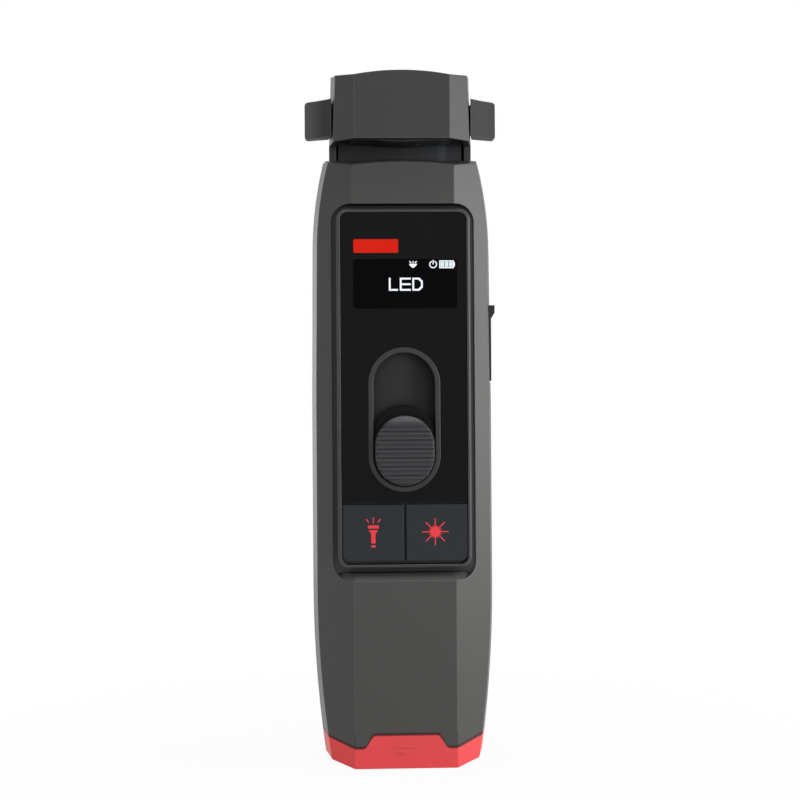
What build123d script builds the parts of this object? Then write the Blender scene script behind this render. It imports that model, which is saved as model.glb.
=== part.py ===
from build123d import *
from math import cos, radians, sin
import os

os.makedirs("parts", exist_ok=True)

# Optical fibre identifier, in millimetres.
# +Z is up, the control panel faces -Y, and the base stands on Z = 0.

# Clearances
seat_gap = 0.1
slide_gap = 0.3
running_gap = 0.05
drop_in_gap = 0.2
cut_margin = 8.0

# Body: a faceted bar with the same front and back
body_half_depth = 17.0
facet_half_width = 14.4
chamfer_run = 10.1
chamfer_rise = 8.5
facet_stop_y = 2.0
waist_half_width = 26.0
waist_low_z = 50.0
waist_high_z = 102.0
lower_side_radius = 348.0
shoulder_z = 145.7
shoulder_narrowing = 0.4
upper_side_radius = 108.0
side_draft = 2.6
base_corner_radius = 2.5
wall = 2.0
deck_over_groove = 13.5
deck_front_drop = 1.8
deck_crown = 0.9
deck_slope_deg = 13.5
deck_wall = 4.5

# Head and neck above the fibre slot
slot_height = 5.1
head_height = 20.0
head_half_depth = 15.5
head_facet_half_width = 13.5
head_chamfer_run = 5.6
head_chamfer_rise = 5.5
head_low_half_width = 20.6
head_top_half_width = 20.0
head_side_draft = 1.9
head_crown = 1.25
head_top_slope_deg = 6.5
head_front_drop = 0.8
head_wall = 2.0
head_roof = 4.6
neck_root_depth = 12.0

# Control panel on the front
panel_low_z = 56.2
panel_width = 37.6
panel_corner_radius = 3.2
panel_proud = 0.3
rim_width = 1.0
rim_bevel = 0.5
groove_side = 1.4
groove_top = 1.4
groove_bottom = 3.6
groove_corner_radius = 4.8
lip_ramp_height = 2.1
lip_ramp_deg = 40.0
bed_floor_y = -11.4
bed_thickness = 2.0
bed_side_wall = 1.6
tray_floor_y = -15.7
window_thickness = 1.2

# Display behind the window
screen_width = 29.2
screen_height = 13.9
screen_centre_x = 0.5
screen_over_ring = 10.9
badge_band = 13.15
display_margin = 2.2
display_thickness = 2.1

# Thumb slider and its slot
slot_width = 17.2
slot_length = 37.5
ring_over_buttons = 2.95
ring_width = 1.5
ring_proud = 0.4
knob_gap = 0.25
knob_length = 22.7
knob_pad_length = 19.6
knob_skirt_y = -16.4
knob_front_y = -20.4
knob_dome = 1.0
rib_pitch = 2.45
rib_count = 6
rib_groove_width = 1.0
rib_groove_depth = 0.35
rib_drop = 0.8
stem_width = 7.0
stem_length = 10.0
shutter_thickness = 0.6
shutter_overlap = 0.9
carriage_thickness = 2.5
carriage_length = 19.0
carriage_corner_radius = 1.5
carriage_half_width = 9.0
rail_width = 1.5
rail_height = 3.2
carriage_screw_radius = 1.0
carriage_screw_head_radius = 1.8
carriage_screw_grip = 4.0
carriage_screw_x = 2.2
carriage_screw_drop = 2.0
lug_floor = 1.5
guide_half_width = 8.0
lug_width = 9.0
lug_height = 6.0
rod_y = -4.5
rod_radius = 1.6
rod_edge = 0.3
guide_thickness = 3.0
guide_clearance = 13.6
spring_radius = 3.1
spring_wire_radius = 0.4
spring_turns = 7

# Clamp
jaw_half_width = 12.0
jaw_depth = 8.4
jaw_height = 10.0
jaw_dish = 0.6
anvil_half_width = 14.4
anvil_height = 9.0
anvil_drop = 0.4
anvil_front_y = -11.4
detector_window_radius = 1.0
lamp_y = -6.0
lamp_radius = 2.5
lamp_height = 3.6
lamp_dome = 1.5
lens_radius = 3.4
lens_flange_width = 0.8
lens_flange_thickness = 0.9
lamp_board_thickness = 1.2
lamp_board_half_width = 8.0
lamp_board_depth = 9.6
liner_front_y = 1.2
liner_thickness = 1.6
liner_overlap = 3.0
liner_side_gap = 0.6
anvil_ridge_half_width = 9.0
detector_radius = 2.35
detector_height = 4.2
detector_spacing = 11.0

# Buttons
button_height = 15.9
button_low_gap = 0.9
button_gap = 0.6
button_corner_radius = 2.0
button_proud = 0.2
button_travel = 0.7
button_stem_x = 12.5
button_stem_radius = 1.6
button_cap_thickness = 2.3
key_board_thickness = 1.2
switch_size = 6.0
switch_height = 3.2

# Light shield
shield_height = 10.7
shield_thickness = 1.5
shield_over_slot = 1.7
shield_front_y = -8.2
shield_travel = 4.0
shield_setback = 2.6
shield_corner_ease = 0.4
ear_tip_x = 27.6
ear_sweep = 6.8
ear_root_depth = 6.8
ear_thickness = 3.4
ear_corner_radius = 1.0
shield_rib_half_width = 3.0
shield_rib_depth = 0.9
shield_rib_end = 1.5
shield_corner_y = 9.75
shield_back_rise = 5.0
ear_dish = 0.57

# Side port with its rubber flap
port_under_guide = 8.55
port_bore_radius = 1.25
port_ferrule_radius = 3.2
port_ferrule_length = 10.0
port_boss_depth = 7.0
port_boss_half_width = 6.0
flap_half_height = 11.0
flap_half_width = 4.2
flap_thickness = 1.1
flap_pull_height = 2.8
flap_pull_foot = 3.9
flap_pull_crest = 2.2
flap_pull_lift = 1.05
flap_recess_x = 24.4
laser_radius = 3.8
laser_length = 9.4
laser_nose_radius = 2.0
laser_nose_length = 0.6
ferrule_flange_radius = 4.2
ferrule_flange_length = 2.0

# Red base
part_line_mid_z = 9.7
part_line_facet_z = 6.0
part_line_side_z = 8.7
part_line_side_x = 22.6
tab_half_width = 8.6
tab_shoulder = 3.6
part_line_gap = 0.15
cover_floor = 2.4
skirt_top_z = 14.0
skirt_thickness = 1.2
skirt_root_z = 4.5
base_side_rise = 1.9
base_rise_x = 21.5
grip_depth = 0.25
grip_half_width = 3.1
grip_line = 0.35
grip_top_z = 6.2
grip_mid_z = 5.0
grip_tip_z = 3.9

# Power
cell_radius = 7.25
cell_edge = 0.6
cell_length = 49.5
cell_nub_radius = 2.75
cell_nub_height = 1.0
cell_low_z = 8.0
cell_x = 8.2
cell_y = 6.1
tray_low_z = 15.0
tray_wall = 1.2
contact_thickness = 0.4
contact_radius = 6.0
contact_spring_radius = 3.6
contact_spring_turns = 3

# Boards and screws
board_thickness = 1.6
main_board_y = 6.0
main_board_half_width = 15.2
board_over_tray = 1.5
board_under_deck = 5.9
screw_radius = 1.25
screw_head_radius = 2.4
screw_head_height = 1.6
boss_radius = 2.9
case_screw_x = 18.5
case_screw_margin = 3.1
board_screw_x = 12.0
board_screw_inset = 7.0
head_screw_x = 13.0
head_screw_over_slot = 13.2
head_screw_seat_y = 12.5
head_boss_length = 10.0
case_screw_grip = 8.0
case_screw_seat_y = 10.5
board_screw_grip = 5.0
chip_size = 10.0
chip_length = 16.0
chip_width = 7.0
chip_height = 1.2
buzzer_radius = 4.5
buzzer_height = 4.0
buzzer_z = 140.0


# Shared forms


def side_half_width(z):
    # Half width of the body at the shell's parting plane, at height z
    if z < waist_low_z:
        return waist_half_width - (waist_low_z - z) ** 2 / (2 * lower_side_radius)
    if z < waist_high_z:
        return waist_half_width
    if z < shoulder_z:
        return waist_half_width - shoulder_narrowing * (z - waist_high_z) / (shoulder_z - waist_high_z)
    return waist_half_width - shoulder_narrowing - (z - shoulder_z) ** 2 / (2 * upper_side_radius)


def body_outline(y, inset):
    # Front view of the body: an arc up to the waist, a straight waist, and an arc over the shoulder.
    # inset draws the outline in on both sides, for the side draft and for the wall.
    def at(z):
        return (side_half_width(z) - inset, z)

    with BuildSketch(Plane.XZ.offset(-y)) as outline:
        with BuildLine():
            Line((0, 0), at(0))
            ThreePointArc(at(0), at(waist_low_z / 2), at(waist_low_z))
            Polyline(at(waist_low_z), at(waist_high_z), at(shoulder_z))
            ThreePointArc(at(shoulder_z), at((shoulder_z + deck_z) / 2), at(deck_z))
            Line(at(deck_z), (0, deck_z))
            mirror(about=Plane.YZ)
        make_face()
        fillet(outline.vertices().group_by(Axis.Y)[0], radius=base_corner_radius)
    return outline.sketch


def facet_section(half_depth, facet_half, run, rise, inset):
    # Plan view of the facets: a front and a back face, and four chamfers that run out past the sides.
    reach = facet_half + (half_depth - facet_stop_y) * run / rise
    with BuildSketch(Plane.XY) as section:
        with BuildLine():
            Polyline(
                (0, -half_depth),
                (facet_half, -half_depth),
                (reach, -facet_stop_y),
                (reach, facet_stop_y),
                (facet_half, half_depth),
                (0, half_depth),
            )
            mirror(about=Plane.YZ)
        make_face()
        if inset > 0:
            offset(amount=-inset, kind=Kind.INTERSECTION)
    return section.sketch


def body_solid(inset):
    # The body's outer form, or its hollow when inset is the wall
    with BuildPart() as form:
        for side in (-1, 1):
            loft([body_outline(0, inset), body_outline(side * body_half_depth, inset + side_draft)], ruled=True)
        extrude(
            facet_section(body_half_depth, facet_half_width, chamfer_run, chamfer_rise, inset),
            amount=deck_z,
            mode=Mode.INTERSECT,
        )
    return form.part


def head_outline(y, inset):
    with BuildSketch(Plane.XZ.offset(-y)) as outline:
        with BuildLine():
            Polyline(
                (0, deck_z - neck_root_depth),
                (head_low_half_width - inset, deck_z - neck_root_depth),
                (head_low_half_width - inset, head_low_z),
                (head_top_half_width - inset, head_top_z),
                (0, head_top_z),
            )
            mirror(about=Plane.YZ)
        make_face()
    return outline.sketch


def head_solid(inset):
    # The head and the neck below it, from inside the body's top up to the crown
    with BuildPart() as form:
        for side in (-1, 1):
            loft([head_outline(0, inset), head_outline(side * head_half_depth, inset + head_side_draft)], ruled=True)
        extrude(
            facet_section(head_half_depth, head_facet_half_width, head_chamfer_run, head_chamfer_rise, inset),
            amount=head_top_z,
            mode=Mode.INTERSECT,
        )
    return form.part


def crown_cutter(half_depth, front_z, facet_half, crown, slope_deg, rise_to):
    # Takes the front top edge down: an arc across the front face, carried back along a slope up to rise_to
    reach = waist_half_width + cut_margin
    edge_z = front_z - crown
    run = (rise_to - edge_z) / sin(radians(slope_deg))
    with BuildPart() as cutter:
        with BuildSketch(Plane.XZ.offset(half_depth)) as above:
            with BuildLine():
                ThreePointArc((-facet_half, edge_z), (0, front_z), (facet_half, edge_z))
                Polyline(
                    (facet_half, edge_z),
                    (reach, edge_z),
                    (reach, rise_to + cut_margin),
                    (-reach, rise_to + cut_margin),
                    (-reach, edge_z),
                    (-facet_half, edge_z),
                )
            make_face()
        extrude(amount=run, dir=(0, cos(radians(slope_deg)), sin(radians(slope_deg))))
    return cutter.part


def below_part_line(raised):
    # Front view of everything under the line where the red base meets the shells
    reach = waist_half_width + cut_margin
    slope = (part_line_side_z - part_line_facet_z) / (part_line_side_x - facet_half_width)
    reach_z = part_line_facet_z + slope * (reach - facet_half_width)
    with BuildSketch(Plane.XZ.offset(-body_half_depth - cut_margin)) as region:
        with BuildLine():
            Line((0, part_line_mid_z + raised), (tab_half_width, part_line_mid_z + raised))
            Spline(
                (tab_half_width, part_line_mid_z + raised),
                (tab_half_width + tab_shoulder, part_line_facet_z + raised),
                tangents=((1, 0), (1, 0)),
            )
            Polyline(
                (tab_half_width + tab_shoulder, part_line_facet_z + raised),
                (facet_half_width, part_line_facet_z + raised),
                (reach, reach_z + raised),
                (reach, -cut_margin),
                (0, -cut_margin),
            )
            mirror(about=Plane.YZ)
        make_face()
    return region.sketch


# Derived places

travel = slot_length - knob_length - 2 * knob_gap
inner_low_z = panel_low_z + rim_width
button_low_z = inner_low_z + button_low_gap
window_low_z = button_low_z + button_height + button_gap
slot_low_z = window_low_z + ring_over_buttons + ring_width
slot_centre_z = slot_low_z + slot_length / 2
screen_low_z = slot_low_z + slot_length + ring_width + screen_over_ring
screen_centre_z = screen_low_z + screen_height / 2
inner_high_z = screen_low_z + screen_height + badge_band
panel_high_z = inner_high_z + rim_width
panel_height = panel_high_z - panel_low_z
panel_centre_z = (panel_low_z + panel_high_z) / 2
knob_low_z = slot_low_z + knob_gap
knob_width = slot_width - 2 * knob_gap
stem_centre_z = knob_low_z + knob_length / 2
panel_front_y = -body_half_depth - panel_proud
groove_low_z = panel_low_z - groove_bottom
groove_high_z = panel_high_z + groove_top
deck_z = groove_high_z + deck_over_groove
deck_front_z = deck_z - deck_front_drop
head_low_z = deck_z + slot_height
head_top_z = head_low_z + head_height
shield_low_z = head_low_z + shield_over_slot
head_screw_z = head_low_z + head_screw_over_slot
groove_half_width = panel_width / 2 + groove_side
bed_back_y = bed_floor_y + bed_thickness
inner_width = panel_width - 2 * rim_width
window_front_y = tray_floor_y - seat_gap - window_thickness
tray_back_y = bed_floor_y - seat_gap
anvil_low_z = head_low_z - anvil_drop
board_back_y = main_board_y + board_thickness
jaw_rest_top_z = anvil_low_z - slide_gap - travel
guide_z = stem_centre_z + carriage_length / 2 + travel + guide_clearance
rod_low_z = stem_centre_z + carriage_length / 2 - lug_height
port_z = guide_z - port_under_guide
flap_low_z = port_z - flap_half_height
flap_high_z = port_z + flap_half_height
flap_pivot_x = flap_recess_x + slide_gap + flap_thickness / 2

body = body_solid(0)
head = head_solid(0)
body_crown = crown_cutter(
    body_half_depth, deck_front_z, facet_half_width, deck_crown, deck_slope_deg, deck_z
)
head_crown_cut = crown_cutter(
    head_half_depth,
    head_top_z - head_front_drop,
    head_facet_half_width,
    head_crown,
    head_top_slope_deg,
    head_top_z,
)

with BuildPart() as body_hollow:
    add(body_solid(wall))
    split(bisect_by=Plane.XY.offset(deck_z - deck_wall), keep=Keep.BOTTOM)

with BuildPart() as head_hollow:
    add(head_solid(head_wall))
    split(bisect_by=Plane.XY.offset(head_top_z - head_roof), keep=Keep.BOTTOM)

cell_high_z = cell_low_z + cell_length + cell_nub_height
tray_contact_z = cell_high_z + seat_gap
tray_roof_z = tray_contact_z + contact_thickness + seat_gap
main_board_low_z = tray_roof_z + tray_wall + board_over_tray
main_board_high_z = deck_z - board_under_deck
case_screw_zs = (tray_roof_z + tray_wall + case_screw_margin, groove_high_z + case_screw_margin)
board_screw_zs = (main_board_low_z + board_screw_inset, main_board_high_z - board_screw_inset)
case_screw_spots = [(x, z) for x in (-case_screw_x, case_screw_x) for z in case_screw_zs]
board_screw_spots = [(x, z) for x in (-board_screw_x, board_screw_x) for z in board_screw_zs]
head_screw_spots = [(x, head_screw_z) for x in (-head_screw_x, head_screw_x)]
button_stem_z = button_low_z + button_height / 2
button_stem_spots = [(x, button_stem_z) for x in (-button_stem_x, button_stem_x)]
carriage_screw_spots = [(x, stem_centre_z - carriage_screw_drop) for x in (-carriage_screw_x, carriage_screw_x)]


# What the side port takes out of both shells: a shallow recess for the flap and a bore for the ferrule

with BuildPart() as port_cutter:
    with BuildSketch(Plane.YZ.offset(flap_recess_x)):
        with Locations((0, (flap_low_z + flap_high_z) / 2)):
            Rectangle(2 * (flap_half_width + slide_gap), flap_high_z - flap_low_z + 2 * slide_gap)
    extrude(amount=waist_half_width)
    with BuildSketch(Plane.YZ.offset(flap_recess_x - port_boss_depth)):
        with Locations((0, port_z)):
            Circle(port_ferrule_radius + seat_gap)
    extrude(amount=port_boss_depth)


# Front housing: faceted shell with the bed for the panel

with BuildPart() as front_inside:
    # The bed behind the panel, the rails for the carriage, the screw bosses and the port's half block
    with BuildSketch(Plane.XZ.offset(-bed_back_y)):
        with Locations((0, (groove_low_z + groove_high_z) / 2)):
            Rectangle(
                2 * (groove_half_width + bed_side_wall),
                groove_high_z - groove_low_z + 2 * bed_side_wall,
            )
    extrude(amount=body_half_depth)
    rail_x = carriage_half_width + slide_gap + rail_width / 2
    with BuildSketch(Plane.XZ.offset(-bed_back_y)):
        with Locations((-rail_x, slot_centre_z), (rail_x, slot_centre_z)):
            Rectangle(rail_width, slot_length)
    extrude(amount=-rail_height)
    with BuildSketch(Plane.XZ):
        with Locations(*case_screw_spots):
            Circle(boss_radius)
    extrude(amount=body_half_depth)
    with BuildSketch(Plane.XZ):
        with Locations((flap_recess_x - port_boss_depth / 2, port_z)):
            Rectangle(port_boss_depth, 2 * port_boss_half_width)
    extrude(amount=port_boss_half_width)
    add(body, mode=Mode.INTERSECT)

with BuildPart() as panel_groove:
    with BuildSketch(Plane.XZ.offset(-bed_floor_y)):
        with Locations((0, (groove_low_z + groove_high_z) / 2)):
            RectangleRounded(2 * groove_half_width, groove_high_z - groove_low_z, groove_corner_radius)
    extrude(amount=body_half_depth)

with BuildPart() as lip_ramp:
    # Rises out of the groove's low end to the facets, with one slope on all of them
    with BuildSketch(Plane.XY.offset(groove_low_z)):
        add(facet_section(body_half_depth, facet_half_width, chamfer_run, chamfer_rise, 0))
    extrude(amount=lip_ramp_height, taper=lip_ramp_deg)
    add(panel_groove.part, mode=Mode.INTERSECT)

with BuildPart() as front_housing:
    add(body)
    split(bisect_by=Plane.XZ, keep=Keep.TOP)
    add(body_crown, mode=Mode.SUBTRACT)
    add(body_hollow.part, mode=Mode.SUBTRACT)
    add(front_inside.part)
    # Sunk groove round the panel, with the ramp at its low end
    add(panel_groove.part, mode=Mode.SUBTRACT)
    add(lip_ramp.part)
    # Through the bed: the slit for the knob's stem and the holes for the button stems
    with BuildSketch(Plane.XZ.offset(-bed_back_y)):
        with Locations((0, stem_centre_z + travel / 2)):
            Rectangle(stem_width + 2 * slide_gap, stem_length + travel + 2 * slide_gap)
        with Locations(*button_stem_spots):
            Circle(button_stem_radius + slide_gap)
    extrude(amount=bed_thickness, mode=Mode.SUBTRACT)
    # Chimney for the jaw, up through the deck
    with BuildSketch(Plane.XY.offset(groove_high_z + bed_side_wall)):
        with Locations((0, bed_back_y / 2)):
            Rectangle(2 * (jaw_half_width + slide_gap), -bed_back_y)
    extrude(amount=deck_z, mode=Mode.SUBTRACT)
    # Pilot holes in the screw bosses
    with BuildSketch(Plane.XZ):
        with Locations(*case_screw_spots):
            Circle(screw_radius + running_gap)
    extrude(amount=case_screw_grip, mode=Mode.SUBTRACT)
    add(port_cutter.part, mode=Mode.SUBTRACT)
    extrude(below_part_line(part_line_gap), amount=2 * (body_half_depth + cut_margin), mode=Mode.SUBTRACT)
front_housing.part.label = "front_housing"
export_step(front_housing.part, "parts/front_housing.step")


# Rear housing: rear shell, neck and the back half of the head, in one moulding

with BuildPart() as rear_inside:
    # Bosses for the case screws and the main board, and the port's other half block
    with BuildSketch(Plane.XZ):
        with Locations(*case_screw_spots):
            Circle(boss_radius)
    extrude(amount=-body_half_depth)
    with BuildSketch(Plane.XZ.offset(-board_back_y)):
        with Locations(*board_screw_spots):
            Circle(boss_radius)
    extrude(amount=-body_half_depth)
    with BuildSketch(Plane.XZ):
        with Locations((flap_recess_x - port_boss_depth / 2, port_z)):
            Rectangle(port_boss_depth, 2 * port_boss_half_width)
    extrude(amount=-port_boss_half_width)
    add(body, mode=Mode.INTERSECT)

with BuildPart() as neck:
    add(head)
    split(bisect_by=Plane.XZ, keep=Keep.BOTTOM)

with BuildPart() as rear_housing:
    add(body)
    split(bisect_by=Plane.XZ, keep=Keep.BOTTOM)
    add(body_hollow.part, mode=Mode.SUBTRACT)
    add(neck.part)
    add(head_hollow.part, mode=Mode.SUBTRACT)
    add(rear_inside.part)
    with BuildSketch(Plane.XZ):
        with Locations(*head_screw_spots):
            Circle(boss_radius)
    extrude(amount=-(head_half_depth - head_wall))
    # Groove down the back of the neck and head for the light shield's rib
    with BuildSketch(Plane.XY.offset(deck_z)):
        with Locations((0, head_half_depth)):
            Rectangle(
                2 * (shield_rib_half_width + slide_gap),
                2 * (shield_rib_depth + slide_gap),
            )
    extrude(amount=shield_low_z + shield_height - deck_z - shield_rib_end, mode=Mode.SUBTRACT)
    # Screw holes from the back, each with a pocket for its head
    with BuildSketch(Plane.XZ):
        with Locations(*case_screw_spots):
            Circle(screw_radius + running_gap)
    extrude(amount=-body_half_depth, mode=Mode.SUBTRACT)
    with BuildSketch(Plane.XZ.offset(-case_screw_seat_y)):
        with Locations(*case_screw_spots):
            Circle(screw_head_radius + drop_in_gap)
    extrude(amount=-body_half_depth, mode=Mode.SUBTRACT)
    with BuildSketch(Plane.XZ.offset(-board_back_y)):
        with Locations(*board_screw_spots):
            Circle(screw_radius + running_gap)
    extrude(amount=-board_screw_grip, mode=Mode.SUBTRACT)
    with BuildSketch(Plane.XZ):
        with Locations(*head_screw_spots):
            Circle(screw_radius + running_gap)
    extrude(amount=-head_half_depth, mode=Mode.SUBTRACT)
    with BuildSketch(Plane.XZ.offset(-head_screw_seat_y)):
        with Locations(*head_screw_spots):
            Circle(screw_head_radius + drop_in_gap)
    extrude(amount=-head_half_depth, mode=Mode.SUBTRACT)
    add(port_cutter.part, mode=Mode.SUBTRACT)
    extrude(below_part_line(part_line_gap), amount=2 * (body_half_depth + cut_margin), mode=Mode.SUBTRACT)
rear_housing.part.label = "rear_housing"
export_step(rear_housing.part, "parts/rear_housing.step")


# Head cover: front half of the head, with the seat for the lamp's lens in its crown

with BuildPart() as head_cover:
    add(head)
    split(bisect_by=Plane.XZ, keep=Keep.TOP)
    split(bisect_by=Plane.XY.offset(head_low_z), keep=Keep.TOP)
    add(head_crown_cut, mode=Mode.SUBTRACT)
    add(head_hollow.part, mode=Mode.SUBTRACT)
    with BuildSketch(Plane.XZ):
        with Locations(*head_screw_spots):
            Circle(boss_radius)
    extrude(amount=head_boss_length)
    with BuildSketch(Plane.XZ):
        with Locations(*head_screw_spots):
            Circle(screw_radius + running_gap)
    extrude(amount=head_boss_length - head_wall, mode=Mode.SUBTRACT)
    with BuildSketch(Plane.XY.offset(head_top_z - head_roof)):
        with Locations((0, lamp_y)):
            Circle(lens_radius + seat_gap)
    extrude(amount=head_roof, mode=Mode.SUBTRACT)
head_cover.part.label = "head_cover"
export_step(head_cover.part, "parts/head_cover.step")


# Slot liner: black wall of the neck behind the fibre slot

with BuildPart() as slot_liner:
    with BuildSketch(Plane.XZ.offset(-liner_front_y)):
        with Locations((0, (deck_z + head_low_z) / 2)):
            Rectangle(
                2 * (head_low_half_width - head_wall - liner_side_gap),
                slot_height + 2 * liner_overlap,
            )
    extrude(amount=-liner_thickness)
slot_liner.part.label = "slot_liner"
export_step(slot_liner.part, "parts/slot_liner.step")


# Light shield: a collar round the head's sides and back, with a swept ear on each side

shield_plane = Plane.XY.offset(shield_low_z)


def beside_head(y, clear):
    # Half width at depth y that is clear of the head's drafted sides
    return head_low_half_width - head_side_draft * abs(y) / head_half_depth + clear


def shield_section(clear):
    # Plan view of the collar's outside or inside, clear of the head all round
    front_y = shield_front_y + shield_setback
    with BuildSketch(shield_plane) as section:
        with BuildLine():
            Polyline(
                (0, front_y),
                (beside_head(front_y, clear), front_y),
                (beside_head(0, clear), 0),
                (beside_head(shield_corner_y, clear), shield_corner_y + clear * shield_corner_ease),
                (head_facet_half_width + clear * shield_corner_ease, head_half_depth + clear),
                (0, head_half_depth + clear),
            )
            mirror(about=Plane.YZ)
        make_face()
    return section.sketch


with BuildPart() as light_shield:
    extrude(shield_section(slide_gap + shield_thickness), amount=shield_height)
    extrude(shield_section(slide_gap), amount=shield_height, mode=Mode.SUBTRACT)
    # The collar's low edge rises towards the back
    collar_back_y = head_half_depth + slide_gap + shield_thickness
    with BuildSketch(Plane.YZ):
        with BuildLine():
            Polyline(
                (shield_front_y + shield_setback, shield_low_z),
                (collar_back_y, shield_low_z),
                (collar_back_y, shield_low_z + shield_back_rise),
                close=True,
            )
        make_face()
    extrude(amount=waist_half_width, both=True, mode=Mode.SUBTRACT)
    # Ears, swept back from the collar's front edges and dished on their front
    ear_back_y = shield_front_y + ear_root_depth
    ear_root_x = beside_head(shield_front_y, slide_gap)
    for side in (-1, 1):
        with BuildSketch(shield_plane):
            with BuildLine():
                ThreePointArc(
                    (side * ear_root_x, shield_front_y),
                    (side * (ear_root_x + ear_tip_x) / 2, shield_front_y + ear_sweep * ear_dish),
                    (side * ear_tip_x, shield_front_y + ear_sweep),
                )
                Polyline(
                    (side * ear_tip_x, shield_front_y + ear_sweep),
                    (side * ear_tip_x, shield_front_y + ear_sweep + ear_thickness),
                    (side * beside_head(ear_back_y, slide_gap), ear_back_y),
                    (side * ear_root_x, shield_front_y),
                )
            make_face()
        extrude(amount=shield_height)
    ear_ends = light_shield.edges().filter_by(Axis.Y, tolerance=30)
    ear_corners = [e for e in ear_ends if abs(e.center().X) > ear_tip_x - seat_gap]
    fillet(ear_corners, radius=ear_corner_radius)
    # Rib that runs in the groove down the head's back
    with BuildSketch(shield_plane):
        with Locations((0, head_half_depth + slide_gap)):
            Rectangle(2 * shield_rib_half_width, 2 * shield_rib_depth)
    extrude(amount=shield_height - shield_rib_end - slide_gap)
light_shield.part.label = "light_shield"
export_step(light_shield.part, "parts/light_shield.step")


# Panel bezel: the tray that holds the window, the display, the ring and the buttons

panel_middle = (0, panel_centre_z)
display_spot = (screen_centre_x, screen_centre_z)
display_width = screen_width + 2 * display_margin
display_height = screen_height + 2 * display_margin
button_front_y = window_front_y - button_proud
button_well_y = button_front_y + button_cap_thickness + button_travel + drop_in_gap

with BuildPart() as panel_bezel:
    with BuildSketch(Plane.XZ.offset(-tray_back_y)):
        with Locations(panel_middle):
            RectangleRounded(panel_width, panel_height, panel_corner_radius)
    extrude(amount=tray_back_y - panel_front_y)
    chamfer(panel_bezel.faces().sort_by(Axis.Y)[0].outer_wire().edges(), length=rim_bevel)
    with BuildSketch(Plane.XZ.offset(-tray_floor_y)):
        with Locations(panel_middle):
            RectangleRounded(inner_width, panel_height - 2 * rim_width, panel_corner_radius - rim_width)
    extrude(amount=tray_floor_y - panel_front_y, mode=Mode.SUBTRACT)
    # Pocket for the display, the slider's slot, and holes for the button stems
    with BuildSketch(Plane.XZ.offset(-tray_floor_y)):
        with Locations(display_spot):
            Rectangle(display_width + 2 * drop_in_gap, display_height + 2 * drop_in_gap)
    extrude(amount=-display_thickness - seat_gap, mode=Mode.SUBTRACT)
    with BuildSketch(Plane.XZ.offset(-tray_back_y)):
        with Locations((0, slot_centre_z)):
            SlotOverall(slot_length, slot_width, rotation=90)
        with Locations(*button_stem_spots):
            Circle(button_stem_radius + slide_gap)
    extrude(amount=tray_back_y - panel_front_y, mode=Mode.SUBTRACT)
    # Deeper well under the buttons
    with BuildSketch(Plane.XZ.offset(-button_well_y)) as button_well:
        with Locations((0, (inner_low_z + window_low_z) / 2)):
            Rectangle(inner_width, window_low_z - inner_low_z)
        fillet(
            button_well.vertices().group_by(Axis.Y)[0],
            radius=panel_corner_radius - rim_width,
        )
    extrude(amount=button_well_y - panel_front_y, mode=Mode.SUBTRACT)
    # Channel in the back for the dust shutter
    with BuildSketch(Plane.XZ.offset(-tray_back_y)):
        with Locations((0, slot_centre_z)):
            Rectangle(
                2 * (carriage_half_width + slide_gap),
                slot_length + 2 * (travel + shutter_overlap + slide_gap),
            )
    extrude(amount=shutter_thickness + slide_gap, mode=Mode.SUBTRACT)
panel_bezel.part.label = "panel_bezel"
export_step(panel_bezel.part, "parts/panel_bezel.step")


# Front window: black gloss sheet with a hole for the slider's ring

with BuildPart() as front_window:
    with BuildSketch(Plane.XZ.offset(-tray_floor_y + seat_gap)) as window_sketch:
        with Locations((0, (window_low_z + inner_high_z - drop_in_gap) / 2)):
            Rectangle(inner_width - 2 * drop_in_gap, inner_high_z - drop_in_gap - window_low_z)
        fillet(
            window_sketch.vertices().group_by(Axis.Y)[-1],
            radius=panel_corner_radius - rim_width - drop_in_gap,
        )
        with Locations((0, slot_centre_z)):
            SlotOverall(
                slot_length + 2 * (ring_width + drop_in_gap),
                slot_width + 2 * (ring_width + drop_in_gap),
                rotation=90,
                mode=Mode.SUBTRACT,
            )
    extrude(amount=window_thickness)
front_window.part.label = "front_window"
export_step(front_window.part, "parts/front_window.step")


# Display module: glass on its thin board

with BuildPart() as display_module:
    with BuildSketch(Plane.XZ.offset(-tray_floor_y - display_thickness)):
        with Locations(display_spot):
            Rectangle(display_width, display_height)
    extrude(amount=display_thickness / 2)
    with BuildSketch(Plane.XZ.offset(-tray_floor_y - display_thickness / 2)):
        with Locations(display_spot):
            Rectangle(screen_width + display_margin, screen_height + display_margin)
    extrude(amount=display_thickness / 2)
display_module.part.label = "display_module"
export_step(display_module.part, "parts/display_module.step")


# Slider ring: the trim round the slot

with BuildPart() as slider_ring:
    with BuildSketch(Plane.XZ.offset(-tray_floor_y + seat_gap)):
        with Locations((0, slot_centre_z)):
            SlotOverall(slot_length + 2 * ring_width, slot_width + 2 * ring_width, rotation=90)
            SlotOverall(slot_length, slot_width, rotation=90, mode=Mode.SUBTRACT)
    extrude(amount=tray_floor_y - seat_gap - window_front_y + ring_proud)
    chamfer(slider_ring.faces().sort_by(Axis.Y)[0].edges(), length=ring_proud / 2)
slider_ring.part.label = "slider_ring"
export_step(slider_ring.part, "parts/slider_ring.step")


# Thumb slider: a tall ribbed knob on a lower skirt, with the stem that reaches through the bed

shutter_front_y = tray_back_y - seat_gap - shutter_thickness
knob_back_y = shutter_front_y - slide_gap
carriage_front_y = bed_back_y + slide_gap
pad_centre_z = knob_low_z + knob_pad_length / 2

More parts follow.
